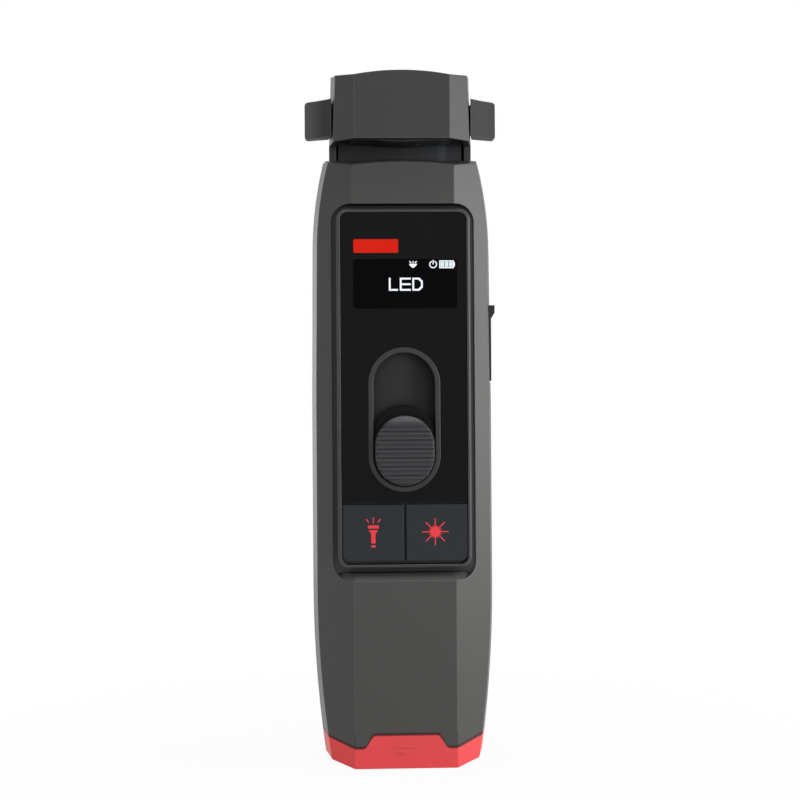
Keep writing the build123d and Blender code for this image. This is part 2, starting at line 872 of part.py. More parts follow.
with BuildPart() as thumb_slider:
    with BuildSketch(Plane.XZ.offset(-knob_back_y)):
        with Locations((0, stem_centre_z)):
            SlotOverall(knob_length, knob_width, rotation=90)
    extrude(amount=knob_back_y - knob_skirt_y)
    with BuildSketch(Plane.XZ.offset(-knob_skirt_y)):
        with Locations((0, pad_centre_z)):
            SlotOverall(knob_pad_length, knob_width, rotation=90)
    extrude(amount=knob_skirt_y - knob_front_y)
    fillet(thumb_slider.faces().sort_by(Axis.Y)[0].edges(), radius=knob_dome)
    # Grooves between the ribs, right across the pad
    with BuildSketch(Plane.YZ.offset(-slot_width / 2)):
        with Locations((knob_front_y, pad_centre_z - rib_drop)):
            with GridLocations(rib_pitch, rib_pitch, 1, rib_count):
                Rectangle(2 * rib_groove_depth, rib_groove_width)
    extrude(amount=slot_width, mode=Mode.SUBTRACT)
    with BuildSketch(Plane.XZ.offset(-knob_back_y)):
        with Locations((0, stem_centre_z)):
            Rectangle(stem_width, stem_length)
    extrude(amount=knob_back_y - carriage_front_y)
    with BuildSketch(Plane.XZ.offset(-carriage_front_y)):
        with Locations(*carriage_screw_spots):
            Circle(carriage_screw_radius)
    extrude(amount=carriage_screw_grip, mode=Mode.SUBTRACT)
thumb_slider.part.label = "thumb_slider"
export_step(thumb_slider.part, "parts/thumb_slider.step")


# Dust shutter: the sheet behind the knob that keeps the slot closed at both ends of the travel

with BuildPart() as dust_shutter:
    with BuildSketch(Plane.XZ.offset(-tray_back_y + seat_gap)):
        with Locations((0, slot_centre_z - travel / 2)):
            Rectangle(2 * carriage_half_width, slot_length + travel + 2 * shutter_overlap)
        with Locations((0, stem_centre_z)):
            Rectangle(stem_width + 2 * seat_gap, stem_length + 2 * seat_gap, mode=Mode.SUBTRACT)
    extrude(amount=shutter_thickness)
dust_shutter.part.label = "dust_shutter"
export_step(dust_shutter.part, "parts/dust_shutter.step")


# Slider carriage: runs between the rails behind the bed, and its lug holds the plunger rod

carriage_back_y = carriage_front_y + carriage_thickness

with BuildPart() as slider_carriage:
    with BuildSketch(Plane.XZ.offset(-carriage_back_y)):
        with Locations((0, stem_centre_z)):
            RectangleRounded(2 * carriage_half_width, carriage_length, carriage_corner_radius)
    extrude(amount=carriage_thickness)
    with BuildSketch(Plane.XY.offset(rod_low_z)):
        with Locations((0, rod_y)):
            Circle(lug_width / 2)
        with Locations((0, (carriage_back_y + rod_y) / 2)):
            Rectangle(lug_width, rod_y - carriage_back_y)
    extrude(amount=lug_height)
    with BuildSketch(Plane.XY.offset(rod_low_z + lug_floor)):
        with Locations((0, rod_y)):
            Circle(rod_radius + running_gap)
    extrude(amount=lug_height, mode=Mode.SUBTRACT)
    with BuildSketch(Plane.XZ.offset(-carriage_back_y)):
        with Locations(*carriage_screw_spots):
            Circle(carriage_screw_radius + running_gap)
    extrude(amount=carriage_thickness, mode=Mode.SUBTRACT)
slider_carriage.part.label = "slider_carriage"
export_step(slider_carriage.part, "parts/slider_carriage.step")


# Carriage screws: two screws that draw the carriage against the knob's stem

with BuildPart() as carriage_screws:
    with BuildSketch(Plane.XZ.offset(-carriage_back_y)):
        with Locations(*carriage_screw_spots):
            Circle(carriage_screw_head_radius)
    extrude(amount=-carriage_screw_radius)
    with BuildSketch(Plane.XZ.offset(-carriage_back_y)):
        with Locations(*carriage_screw_spots):
            Circle(carriage_screw_radius - running_gap)
    extrude(amount=carriage_thickness + carriage_screw_grip - seat_gap)
carriage_screws.part.label = "carriage_screws"
export_step(carriage_screws.part, "parts/carriage_screws.step")


# Plunger rod, from the carriage's lug up to the jaw

jaw_rest_low_z = jaw_rest_top_z - jaw_height
rod_high_z = jaw_rest_low_z + jaw_height / 2

with BuildPart() as plunger_rod:
    with BuildSketch(Plane.XY.offset(rod_low_z + lug_floor)):
        with Locations((0, rod_y)):
            Circle(rod_radius)
    extrude(amount=rod_high_z - rod_low_z - lug_floor)
    chamfer(plunger_rod.edges().filter_by(GeomType.CIRCLE), length=rod_edge)
plunger_rod.part.label = "plunger_rod"
export_step(plunger_rod.part, "parts/plunger_rod.step")


# Clamp jaw: the lower jaw, dished to match the anvil

with BuildPart() as clamp_jaw:
    with BuildSketch(Plane.XZ.offset(-rod_y - jaw_depth / 2)):
        with BuildLine():
            ThreePointArc(
                (-anvil_ridge_half_width, jaw_rest_top_z),
                (0, jaw_rest_top_z - jaw_dish),
                (anvil_ridge_half_width, jaw_rest_top_z),
            )
            Polyline(
                (anvil_ridge_half_width, jaw_rest_top_z),
                (jaw_half_width, jaw_rest_top_z),
                (jaw_half_width, jaw_rest_low_z),
                (-jaw_half_width, jaw_rest_low_z),
                (-jaw_half_width, jaw_rest_top_z),
                (-anvil_ridge_half_width, jaw_rest_top_z),
            )
        make_face()
    extrude(amount=jaw_depth)
    with BuildSketch(Plane.XY.offset(jaw_rest_low_z)):
        with Locations((0, rod_y)):
            Circle(rod_radius + running_gap)
    extrude(amount=rod_high_z - jaw_rest_low_z + seat_gap, mode=Mode.SUBTRACT)
clamp_jaw.part.label = "clamp_jaw"
export_step(clamp_jaw.part, "parts/clamp_jaw.step")


# Rod guide: the bushed bridge behind the bed that the rod runs in

with BuildPart() as rod_guide:
    with BuildSketch(Plane.XY.offset(guide_z)):
        with Locations((0, bed_back_y / 2)):
            Rectangle(2 * guide_half_width, -bed_back_y - 2 * seat_gap)
        with Locations((0, rod_y)):
            Circle(rod_radius + running_gap, mode=Mode.SUBTRACT)
    extrude(amount=guide_thickness)
rod_guide.part.label = "rod_guide"
export_step(rod_guide.part, "parts/rod_guide.step")


def coil(x, y, low_z, high_z, radius, wire_radius, turns):
    # A wound spring between two seats, clear of both by the seat gap
    coil_height = high_z - low_z - 2 * (wire_radius + seat_gap)
    with BuildPart() as spring:
        with BuildLine(Plane((x, y, low_z + wire_radius + seat_gap))) as path:
            Helix(pitch=coil_height / turns, height=coil_height, radius=radius)
        with BuildSketch(Plane(path.line @ 0, z_dir=path.line % 0)):
            RegularPolygon(wire_radius, 6)
        sweep(is_frenet=True)
    return spring.part


# Return spring, on the rod between the carriage's lug and the guide

with BuildPart() as return_spring:
    add(
        coil(
            0,
            rod_y,
            rod_low_z + lug_height,
            guide_z,
            spring_radius,
            spring_wire_radius,
            spring_turns,
        )
    )
return_spring.part.label = "return_spring"
export_step(return_spring.part, "parts/return_spring.step")


# Anvil block: the upper jaw with its ridge, and a pocket and a window for each detector

anvil_base_z = head_low_z + drop_in_gap
anvil_top_z = anvil_base_z + anvil_height
detector_floor_z = anvil_base_z + anvil_height - detector_height - drop_in_gap
detector_spots = [(x, rod_y) for x in (-detector_spacing / 2, detector_spacing / 2)]

with BuildPart() as anvil_block:
    with BuildSketch(Plane.XZ.offset(-anvil_front_y)):
        with BuildLine():
            ThreePointArc(
                (-anvil_ridge_half_width, anvil_base_z),
                (0, anvil_low_z),
                (anvil_ridge_half_width, anvil_base_z),
            )
            Polyline(
                (anvil_ridge_half_width, anvil_base_z),
                (anvil_half_width, anvil_base_z),
                (anvil_half_width, anvil_top_z),
                (-anvil_half_width, anvil_top_z),
                (-anvil_half_width, anvil_base_z),
                (-anvil_ridge_half_width, anvil_base_z),
            )
        make_face()
    extrude(amount=anvil_front_y + slide_gap)
    with BuildSketch(Plane.XY.offset(detector_floor_z)):
        with Locations(*detector_spots):
            Circle(detector_radius + seat_gap)
    extrude(amount=anvil_height, mode=Mode.SUBTRACT)
    with BuildSketch(Plane.XY.offset(anvil_low_z)):
        with Locations(*detector_spots):
            Circle(detector_window_radius)
    extrude(amount=anvil_height, mode=Mode.SUBTRACT)
anvil_block.part.label = "anvil_block"
export_step(anvil_block.part, "parts/anvil_block.step")


# Light detectors: a can in each pocket

for side, (detector_x, detector_y) in zip(("left", "right"), detector_spots):
    with BuildPart() as detector:
        with BuildSketch(Plane.XY.offset(detector_floor_z + seat_gap)):
            with Locations((detector_x, detector_y)):
                Circle(detector_radius)
        extrude(amount=detector_height)
    detector.part.label = f"detector_{side}"
    export_step(detector.part, f"parts/detector_{side}.step")


# Lamp board, lamp and lens in the head's crown

lamp_board_z = anvil_top_z + seat_gap
lamp_z = lamp_board_z + lamp_board_thickness + seat_gap
roof_low_z = head_top_z - head_roof

with BuildPart() as lamp_board:
    with BuildSketch(Plane.XY.offset(lamp_board_z)):
        with Locations((0, lamp_y)):
            Rectangle(2 * lamp_board_half_width, lamp_board_depth)
    extrude(amount=lamp_board_thickness)
lamp_board.part.label = "lamp_board"
export_step(lamp_board.part, "parts/lamp_board.step")

with BuildPart() as head_lamp:
    with BuildSketch(Plane.XY.offset(lamp_z)):
        with Locations((0, lamp_y)):
            Circle(lamp_radius)
    extrude(amount=lamp_height)
    fillet(head_lamp.faces().sort_by(Axis.Z)[-1].edges(), radius=lamp_dome)
head_lamp.part.label = "head_lamp"
export_step(head_lamp.part, "parts/head_lamp.step")

with BuildPart() as lamp_lens:
    with BuildSketch(Plane.XY.offset(roof_low_z - seat_gap)):
        with Locations((0, lamp_y)):
            Circle(lens_radius)
    extrude(amount=head_roof)
    with BuildSketch(Plane.XY.offset(roof_low_z - seat_gap)):
        with Locations((0, lamp_y)):
            Circle(lens_radius + lens_flange_width)
    extrude(amount=-lens_flange_thickness)
lamp_lens.part.label = "lamp_lens"
export_step(lamp_lens.part, "parts/lamp_lens.step")


# Push buttons: a cap in the well and a stem down to its switch

button_back_y = button_front_y + button_cap_thickness
button_outer_x = inner_width / 2 - drop_in_gap
button_width = button_outer_x - button_gap / 2
switch_top_y = bed_back_y + seat_gap
stem_tip_y = switch_top_y - seat_gap - button_travel

for side, name in ((-1, "flashlight"), (1, "laser")):
    with BuildPart() as button:
        with BuildSketch(Plane.XZ.offset(-button_back_y)) as cap:
            with Locations((side * (button_gap / 2 + button_width / 2), button_stem_z)):
                Rectangle(button_width, button_height)
            outer_low = cap.vertices().group_by(Axis.Y)[0].sort_by(Axis.X)
            fillet(outer_low[-1] if side > 0 else outer_low[0], radius=button_corner_radius)
        extrude(amount=button_cap_thickness)
        chamfer(button.faces().sort_by(Axis.Y)[0].edges(), length=button_proud)
        with BuildSketch(Plane.XZ.offset(-button_back_y)):
            with Locations((side * button_stem_x, button_stem_z)):
                Circle(button_stem_radius)
        extrude(amount=-(stem_tip_y - button_back_y))
    button.part.label = f"{name}_button"
    export_step(button.part, f"parts/{name}_button.step")

    with BuildPart() as switch:
        with BuildSketch(Plane.XZ.offset(-switch_top_y)):
            with Locations((side * button_stem_x, button_stem_z)):
                Rectangle(switch_size, switch_size)
        extrude(amount=-switch_height)
    switch.part.label = f"{name}_switch"
    export_step(switch.part, f"parts/{name}_switch.step")

with BuildPart() as key_board:
    with BuildSketch(Plane.XZ.offset(-switch_top_y - switch_height - seat_gap)):
        with Locations((0, button_stem_z)):
            Rectangle(2 * button_stem_x + switch_size, switch_size * 2)
    extrude(amount=-key_board_thickness)
key_board.part.label = "key_board"
export_step(key_board.part, "parts/key_board.step")


# Main board with its processor, its screws and the buzzer

with BuildPart() as main_pcb:
    with BuildSketch(Plane.XZ.offset(-board_back_y)):
        with Locations((0, (main_board_low_z + main_board_high_z) / 2)):
            Rectangle(2 * main_board_half_width, main_board_high_z - main_board_low_z)
        with Locations(*board_screw_spots):
            Circle(screw_radius + running_gap, mode=Mode.SUBTRACT)
    extrude(amount=board_thickness)
    with BuildSketch(Plane.XZ.offset(-main_board_y)):
        with Locations((0, slot_centre_z)):
            Rectangle(chip_size, chip_size)
        with Locations((0, screen_centre_z)):
            Rectangle(chip_length, chip_width)
    extrude(amount=chip_height)
main_pcb.part.label = "main_pcb"
export_step(main_pcb.part, "parts/main_pcb.step")


def screws(spots, seat_y, length):
    # Countersunk-free pan screws that point towards -Y from a seat facing +Y
    with BuildPart() as group:
        with BuildSketch(Plane.XZ.offset(-seat_y - running_gap)):
            with Locations(*spots):
                Circle(screw_head_radius)
        extrude(amount=-screw_head_height)
        with BuildSketch(Plane.XZ.offset(-seat_y - running_gap)):
            with Locations(*spots):
                Circle(screw_radius)
        extrude(amount=length)
    return group.part


with BuildPart() as pcb_screws:
    with BuildSketch(Plane.XZ.offset(-main_board_y + running_gap)):
        with Locations(*board_screw_spots):
            Circle(screw_head_radius)
    extrude(amount=screw_head_height)
    with BuildSketch(Plane.XZ.offset(-main_board_y + running_gap)):
        with Locations(*board_screw_spots):
            Circle(screw_radius)
    extrude(amount=-(board_thickness + board_screw_grip - seat_gap))
pcb_screws.part.label = "pcb_screws"
export_step(pcb_screws.part, "parts/pcb_screws.step")

with BuildPart() as case_screws:
    add(screws(case_screw_spots, case_screw_seat_y, case_screw_seat_y + case_screw_grip - seat_gap))
case_screws.part.label = "case_screws"
export_step(case_screws.part, "parts/case_screws.step")

with BuildPart() as head_screws:
    add(screws(head_screw_spots, head_screw_seat_y, head_screw_seat_y + head_boss_length - head_wall - seat_gap))
head_screws.part.label = "head_screws"
export_step(head_screws.part, "parts/head_screws.step")

with BuildPart() as buzzer:
    with BuildSketch(Plane.XZ.offset(-board_back_y - seat_gap)):
        with Locations((0, buzzer_z)):
            Circle(buzzer_radius)
            Circle(buzzer_radius / 4, mode=Mode.SUBTRACT)
    extrude(amount=-buzzer_height)
buzzer.part.label = "buzzer"
export_step(buzzer.part, "parts/buzzer.step")


# Side port: laser module, ferrule and the rubber flap


def along_x(x, length, *radii):
    # A round bar along X from x, or a tube when a second radius is given
    with BuildPart() as bar:
        with BuildSketch(Plane.YZ.offset(x)):
            with Locations((0, port_z)):
                Circle(radii[0])
                if len(radii) > 1:
                    Circle(radii[1], mode=Mode.SUBTRACT)
        extrude(amount=length)
    return bar.part


ferrule_low_x = flap_recess_x - port_ferrule_length
ferrule_flange_x = flap_recess_x - port_boss_depth - seat_gap - ferrule_flange_length
laser_low_x = ferrule_low_x - seat_gap - laser_nose_length - laser_length

with BuildPart() as port_ferrule:
    add(along_x(ferrule_low_x, port_ferrule_length, port_ferrule_radius, port_bore_radius))
    add(along_x(ferrule_flange_x, ferrule_flange_length, ferrule_flange_radius, port_bore_radius))
port_ferrule.part.label = "port_ferrule"
export_step(port_ferrule.part, "parts/port_ferrule.step")

with BuildPart() as laser_module:
    add(along_x(laser_low_x, laser_length, laser_radius))
    add(along_x(laser_low_x + laser_length, laser_nose_length, laser_nose_radius))
laser_module.part.label = "laser_module"
export_step(laser_module.part, "parts/laser_module.step")

flap_low_x = flap_recess_x + slide_gap
flap_pivot_z = flap_low_z + flap_thickness / 2

with BuildPart() as port_cover:
    with BuildSketch(Plane.XZ.offset(-flap_half_width)):
        with BuildLine():
            ThreePointArc(
                (flap_low_x, flap_pivot_z),
                (flap_pivot_x, flap_low_z),
                (flap_low_x + flap_thickness, flap_pivot_z),
            )
            Polyline(
                (flap_low_x + flap_thickness, flap_pivot_z),
                (flap_low_x + flap_thickness, flap_high_z - flap_pull_foot),
                (flap_low_x + flap_thickness + flap_pull_lift, flap_high_z - flap_pull_crest),
                (flap_low_x + flap_thickness + flap_pull_lift, flap_high_z),
                (flap_low_x, flap_high_z),
                (flap_low_x, flap_pivot_z),
            )
        make_face()
    extrude(amount=2 * flap_half_width)
port_cover.part.label = "port_cover"
export_step(port_cover.part, "parts/port_cover.step")


# Power: the cells, the tray that they slide into and the contacts at both ends

cell_spots = [(x, cell_y) for x in (-cell_x, cell_x)]

with BuildPart() as battery_tray:
    with BuildSketch(Plane.XY.offset(tray_low_z)):
        with Locations(*cell_spots):
            Circle(cell_radius + drop_in_gap + tray_wall)
        with Locations((0, cell_y)):
            Rectangle(2 * cell_x, 2 * (cell_radius + drop_in_gap + tray_wall))
    extrude(amount=tray_roof_z + tray_wall - tray_low_z)
    with BuildSketch(Plane.XY.offset(tray_low_z)):
        with Locations(*cell_spots):
            Circle(cell_radius + drop_in_gap)
    extrude(amount=tray_roof_z - tray_low_z, mode=Mode.SUBTRACT)
battery_tray.part.label = "battery_tray"
export_step(battery_tray.part, "parts/battery_tray.step")

with BuildPart() as tray_contacts:
    with BuildSketch(Plane.XY.offset(tray_contact_z)):
        with Locations(*cell_spots):
            Circle(contact_radius)
    extrude(amount=contact_thickness)
tray_contacts.part.label = "tray_contacts"
export_step(tray_contacts.part, "parts/tray_contacts.step")

for side, spot in zip(("left", "right"), cell_spots):
    with BuildPart() as battery:
        with BuildSketch(Plane.XY.offset(cell_low_z)):
            with Locations(spot):
                Circle(cell_radius)
        extrude(amount=cell_length)
        chamfer(battery.edges().filter_by(GeomType.CIRCLE), length=cell_edge)
        with BuildSketch(Plane.XY.offset(cell_low_z + cell_length)):
            with Locations(spot):
                Circle(cell_nub_radius)
        extrude(amount=cell_nub_height)
    battery.part.label = f"battery_{side}"
    export_step(battery.part, f"parts/battery_{side}.step")

bridge_z = cover_floor + seat_gap

with BuildPart() as contact_bridge:
    with BuildSketch(Plane.XY.offset(bridge_z)):
        with Locations((0, cell_y)):
            SlotOverall(2 * (cell_x + contact_radius), 2 * contact_radius)
    extrude(amount=contact_thickness)
contact_bridge.part.label = "contact_bridge"
export_step(contact_bridge.part, "parts/contact_bridge.step")

with BuildPart() as contact_springs:
    for x, y in cell_spots:
        add(
            coil(
                x,
                y,
                bridge_z + contact_thickness,
                cell_low_z,
                contact_spring_radius,
                spring_wire_radius,
                contact_spring_turns,
            )
        )
contact_springs.part.label = "contact_springs"
export_step(contact_springs.part, "parts/contact_springs.step")


# Battery cover: the red base, with a skirt that plugs into the shells and a grip mark

skirt_inset = wall + drop_in_gap


def slice_of(solid, low_z, high_z):
    # The part of a solid between two heights
    with BuildPart() as piece:
        add(solid)
        split(bisect_by=Plane.XY.offset(low_z), keep=Keep.TOP)
        split(bisect_by=Plane.XY.offset(high_z), keep=Keep.BOTTOM)
    return piece.part


def straight_plug(inset, low_z):
    # Straight up from the section that the body has where the skirt is rooted, so the cover draws straight out
    root = slice_of(body_solid(inset), skirt_root_z, skirt_top_z)
    with BuildPart() as plug:
        extrude(root.faces().sort_by(Axis.Z)[0], amount=skirt_top_z - skirt_root_z, dir=(0, 0, 1))
        extrude(root.faces().sort_by(Axis.Z)[0], amount=skirt_root_z - low_z, dir=(0, 0, -1))
    return plug.part


with BuildPart() as battery_cover:
    add(slice_of(body, 0, skirt_top_z))
    extrude(below_part_line(0), amount=2 * (body_half_depth + cut_margin), mode=Mode.INTERSECT)
    # The underside rises towards both sides
    with BuildSketch(Plane.XZ.offset(-body_half_depth - cut_margin)):
        with BuildLine():
            Polyline(
                (facet_half_width, 0),
                (base_rise_x, base_side_rise),
                (waist_half_width + cut_margin, base_side_rise),
                (waist_half_width + cut_margin, 0),
                (facet_half_width, 0),
            )
        make_face()
        mirror(about=Plane.YZ)
    extrude(amount=2 * (body_half_depth + cut_margin), mode=Mode.SUBTRACT)
    add(slice_of(body_solid(wall), skirt_root_z, skirt_top_z), mode=Mode.SUBTRACT)
    add(straight_plug(skirt_inset, skirt_root_z - seat_gap))
    add(straight_plug(skirt_inset + skirt_thickness, cover_floor), mode=Mode.SUBTRACT)
    # Raised grip mark: two lines and a point that show which way the cover draws off
    with BuildSketch(Plane.XZ.offset(body_half_depth)):
        with Locations((0, grip_top_z)):
            Rectangle(2 * grip_half_width, grip_line)
        with BuildLine():
            Polyline(
                (-grip_half_width + grip_line, grip_mid_z),
                (grip_half_width - grip_line, grip_mid_z),
                (0, grip_tip_z),
                (-grip_half_width + grip_line, grip_mid_z),
            )
        make_face()
    extrude(amount=grip_depth)
battery_cover.part.label = "battery_cover"
export_step(battery_cover.part, "parts/battery_cover.step")
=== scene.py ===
import math

import bmesh
import bpy
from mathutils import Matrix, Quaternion, Vector


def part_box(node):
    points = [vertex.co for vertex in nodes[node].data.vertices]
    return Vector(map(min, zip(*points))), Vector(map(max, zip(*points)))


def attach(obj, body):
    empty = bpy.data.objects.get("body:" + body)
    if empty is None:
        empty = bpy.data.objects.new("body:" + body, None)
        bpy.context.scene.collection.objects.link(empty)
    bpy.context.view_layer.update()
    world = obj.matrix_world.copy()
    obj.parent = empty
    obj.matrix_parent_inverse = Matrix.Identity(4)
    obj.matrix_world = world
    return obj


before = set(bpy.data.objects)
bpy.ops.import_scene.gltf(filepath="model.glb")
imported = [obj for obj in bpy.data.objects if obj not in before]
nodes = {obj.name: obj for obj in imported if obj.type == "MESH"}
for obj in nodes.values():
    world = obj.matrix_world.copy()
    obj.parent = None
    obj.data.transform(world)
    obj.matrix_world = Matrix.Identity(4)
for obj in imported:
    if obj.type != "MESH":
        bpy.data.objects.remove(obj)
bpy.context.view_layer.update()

mm = 0.001
print("frame loaded:", len(nodes), "nodes")


# Shader nodes

def toLinear(hexColour):
    # An sRGB hex colour as linear RGBA
    channels = [int(hexColour[i:i + 2], 16) / 255 for i in (1, 3, 5)]
    linear = [c / 12.92 if c <= 0.04045 else ((c + 0.055) / 1.055) ** 2.4 for c in channels]
    return (*linear, 1.0)


def addNode(tree, kind, settings=None, links=None):
    # A setting goes to the input of that name or number, or else to the node's own property
    node = tree.nodes.new(kind)
    for name, value in (settings or {}).items():
        if isinstance(name, int) or name in node.inputs:
            node.inputs[name].default_value = value
        else:
            setattr(node, name, value)
    for name, socket in (links or {}).items():
        tree.links.new(socket, node.inputs[name])
    return node


def calculate(tree, operation, *values):
    # One math step on sockets and plain numbers
    numbers = {i: value for i, value in enumerate(values) if isinstance(value, float)}
    sockets = {i: value for i, value in enumerate(values) if i not in numbers}
    return addNode(tree, "ShaderNodeMath", {"operation": operation, **numbers}, sockets).outputs[0]


def mapRange(tree, value, fromLow, fromHigh, toLow=0.0, toHigh=1.0, course="LINEAR"):
    # Carries a value from one range into another and holds it past either end
    return addNode(
        tree, "ShaderNodeMapRange",
        {"interpolation_type": course, "From Min": fromLow, "From Max": fromHigh,
         "To Min": toLow, "To Max": toHigh},
        {"Value": value},
    ).outputs["Result"]


def tint(tree, colour, share, hexColour):
    # Lays another colour over what is there, by a share from 0 to 1
    return addNode(
        tree, "ShaderNodeMix", {"data_type": "RGBA", "B": toLinear(hexColour)},
        {"Factor": share, "A": colour},
    ).outputs["Result"]


# Materials

# What all textured materials share: the noise behind grain and mottling, how far shut a corner is when
# its painted shade is full or gone, and how far a surface turns where an edge's painted highlight is full
# or gone
surface = {"grainDetail": 3.0, "grainRoughness": 0.6, "cloudDetail": 2.0, "cornerSamples": 8,
           "cornerShut": 0.3, "cornerOpen": 0.85, "edgeSamples": 6, "edgeFull": 0.86, "edgeFlat": 0.996,
           "coatRoughness": 0.1}


def newMaterial(name):
    material = bpy.data.materials.new(name)
    material.use_nodes = True
    tree = material.node_tree
    tree.nodes.clear()
    return material, tree


def finishMaterial(tree, shader, colour=None, roughness=None, normal=None):
    # Joins the worked-out colour, roughness and bump to the shader and the output
    for socket, source in (("Base Color", colour), ("Roughness", roughness), ("Normal", normal)):
        if source is not None:
            tree.links.new(source, shader.inputs[socket])
    addNode(tree, "ShaderNodeOutputMaterial", links={"Surface": shader.outputs["BSDF"]})


def fineLines(tree, colour, along, look):
    # Fine dark lines across the piece, a pitch apart up its height: painted shade of fine grooves
    fromFirst = calculate(tree, "SUBTRACT", along["Z"], look["lineFromMm"] * mm)
    off = calculate(tree, "PINGPONG", fromFirst, look["linePitchMm"] / 2 * mm)
    lined = mapRange(tree, off, 0.0, look["lineMm"] * mm, look["lineShare"], 0.0)
    return tint(tree, colour, lined, look["lineColour"])


def shadedCorners(tree, colour, look):
    # Painted shade: the colour darkens where surfaces close in on each other
    corners = addNode(
        tree, "ShaderNodeAmbientOcclusion",
        {"samples": surface["cornerSamples"], "Distance": look["cornerMm"] * mm},
    ).outputs["AO"]
    shaded = mapRange(tree, corners, surface["cornerShut"], surface["cornerOpen"], look["cornerShare"], 0.0)
    return tint(tree, colour, shaded, look["cornerColour"])


def paintedEdgeHighlights(tree, colour, along, eased, look):
    # Painted highlights: edges are painted lighter where the eased surface turns away from the flat one.
    # Past the seam's height they meet the next piece and take the seam's colour
    flat = addNode(tree, "ShaderNodeNewGeometry").outputs["Normal"]
    likeness = addNode(
        tree, "ShaderNodeVectorMath", {"operation": "DOT_PRODUCT"}, {0: eased, 1: flat},
    ).outputs["Value"]
    highlighted = mapRange(tree, likeness, look.get("edgeFull", surface["edgeFull"]), surface["edgeFlat"],
                      look["edgeShare"], 0.0)
    if "seamFromMm" not in look:
        return tint(tree, colour, highlighted, look["edgeColour"])
    past = mapRange(tree, along["Z"], look["seamFromMm"] * mm, look["seamToMm"] * mm)
    edge = addNode(
        tree, "ShaderNodeMix",
        {"data_type": "RGBA", "A": toLinear(look["edgeColour"]), "B": toLinear(look["seamColour"])},
        {"Factor": past},
    ).outputs["Result"]
    return addNode(
        tree, "ShaderNodeMix", {"data_type": "RGBA"}, {"Factor": highlighted, "A": colour, "B": edge},
    ).outputs["Result"]


def partingLine(tree, colour, along, line):
    # A dark line just under the parting line, which is high over the tab in the middle, low on both
    # sides of it and rises from the facets to the sides
    aside = calculate(tree, "ABSOLUTE", along["X"])
    tab = mapRange(tree, aside, line["tabFromMm"] * mm, line["tabToMm"] * mm, line["middleMm"] * mm,
                   line["lowMm"] * mm, "SMOOTHSTEP")
    rise = mapRange(tree, aside, line["facetMm"] * mm, line["sideMm"] * mm, 0.0, line["riseMm"] * mm)
    below = calculate(tree, "SUBTRACT", calculate(tree, "ADD", tab, rise), along["Z"])
    dark = mapRange(tree, below, line["fromMm"] * mm, line["toMm"] * mm, line["share"], 0.0)
    return tint(tree, colour, dark, line["colour"])


def colourZone(tree, colour, along, zone):
    # Another colour for part of the piece, which comes in between two places on one axis
    share = mapRange(tree, along[zone["axis"]], zone["fromMm"] * mm, zone["toMm"] * mm,
                     0.0, zone["share"], "SMOOTHSTEP")
    return tint(tree, colour, share, zone["colour"])


def texturedMaterial(name, look):
    # A surface with a grain of a real size, a soft mottling of its colour and, where look asks for them,
    # fine lines, painted corner shade, eased edges with painted highlights, a dark parting line and colour
    # zones
    material, tree = newMaterial(name)
    place = addNode(tree, "ShaderNodeTexCoord").outputs["Object"]
    along = addNode(tree, "ShaderNodeSeparateXYZ", links={"Vector": place}).outputs
    grain = addNode(
        tree, "ShaderNodeTexNoise",
        {"Scale": 1 / (look["grainMm"] * mm), "Detail": surface["grainDetail"],
         "Roughness": surface["grainRoughness"]},
        {"Vector": place},
    ).outputs["Fac"]
    cloud = addNode(
        tree, "ShaderNodeTexNoise",
        {"Scale": 1 / (look["cloudMm"] * mm), "Detail": surface["cloudDetail"]},
        {"Vector": place},
    ).outputs["Fac"]
    bump = addNode(
        tree, "ShaderNodeBump",
        {"Strength": look["bumpStrength"], "Distance": look["bumpMm"] * mm},
        {"Height": grain},
    )
    colour = addNode(
        tree, "ShaderNodeMix",
        {"data_type": "RGBA", "A": toLinear(look["colour"]), "B": toLinear(look["colourFar"])},
        {"Factor": cloud},
    ).outputs["Result"]
    if "linePitchMm" in look:
        colour = fineLines(tree, colour, along, look)
    if "cornerMm" in look:
        colour = shadedCorners(tree, colour, look)
    if "edgeMm" in look:
        eased = addNode(
            tree, "ShaderNodeBevel",
            {"samples": surface["edgeSamples"], "Radius": look["edgeMm"] * mm},
        ).outputs["Normal"]
        tree.links.new(eased, bump.inputs["Normal"])
        colour = paintedEdgeHighlights(tree, colour, along, eased, look)
    if "partLine" in look:
        colour = partingLine(tree, colour, along, look["partLine"])
    for zone in look.get("zones", ()):
        colour = colourZone(tree, colour, along, zone)
    gloss = mapRange(tree, grain, 0.0, 1.0, look["roughness"] - look["roughnessSpread"],
                     look["roughness"] + look["roughnessSpread"])
    shader = addNode(
        tree, "ShaderNodeBsdfPrincipled",
        {"IOR": look.get("ior", 1.5), "Metallic": look.get("metallic", 0.0),
         "Specular IOR Level": look.get("specular", 0.5),
         "Coat Weight": look.get("coat", 0.0), "Coat Roughness": surface["coatRoughness"]},
    )
    finishMaterial(tree, shader, colour, gloss, bump.outputs["Normal"])
    return material


def litMaterial(name, hexColour, strength):
    # A pixel that gives its own light over a dark ground
    material, tree = newMaterial(name)
    shader = addNode(
        tree, "ShaderNodeBsdfPrincipled",
        {"Base Color": toLinear("#0A0A0C"), "Roughness": 0.3,
         "Emission Color": toLinear(hexColour), "Emission Strength": strength},
    )
    finishMaterial(tree, shader)
    return material
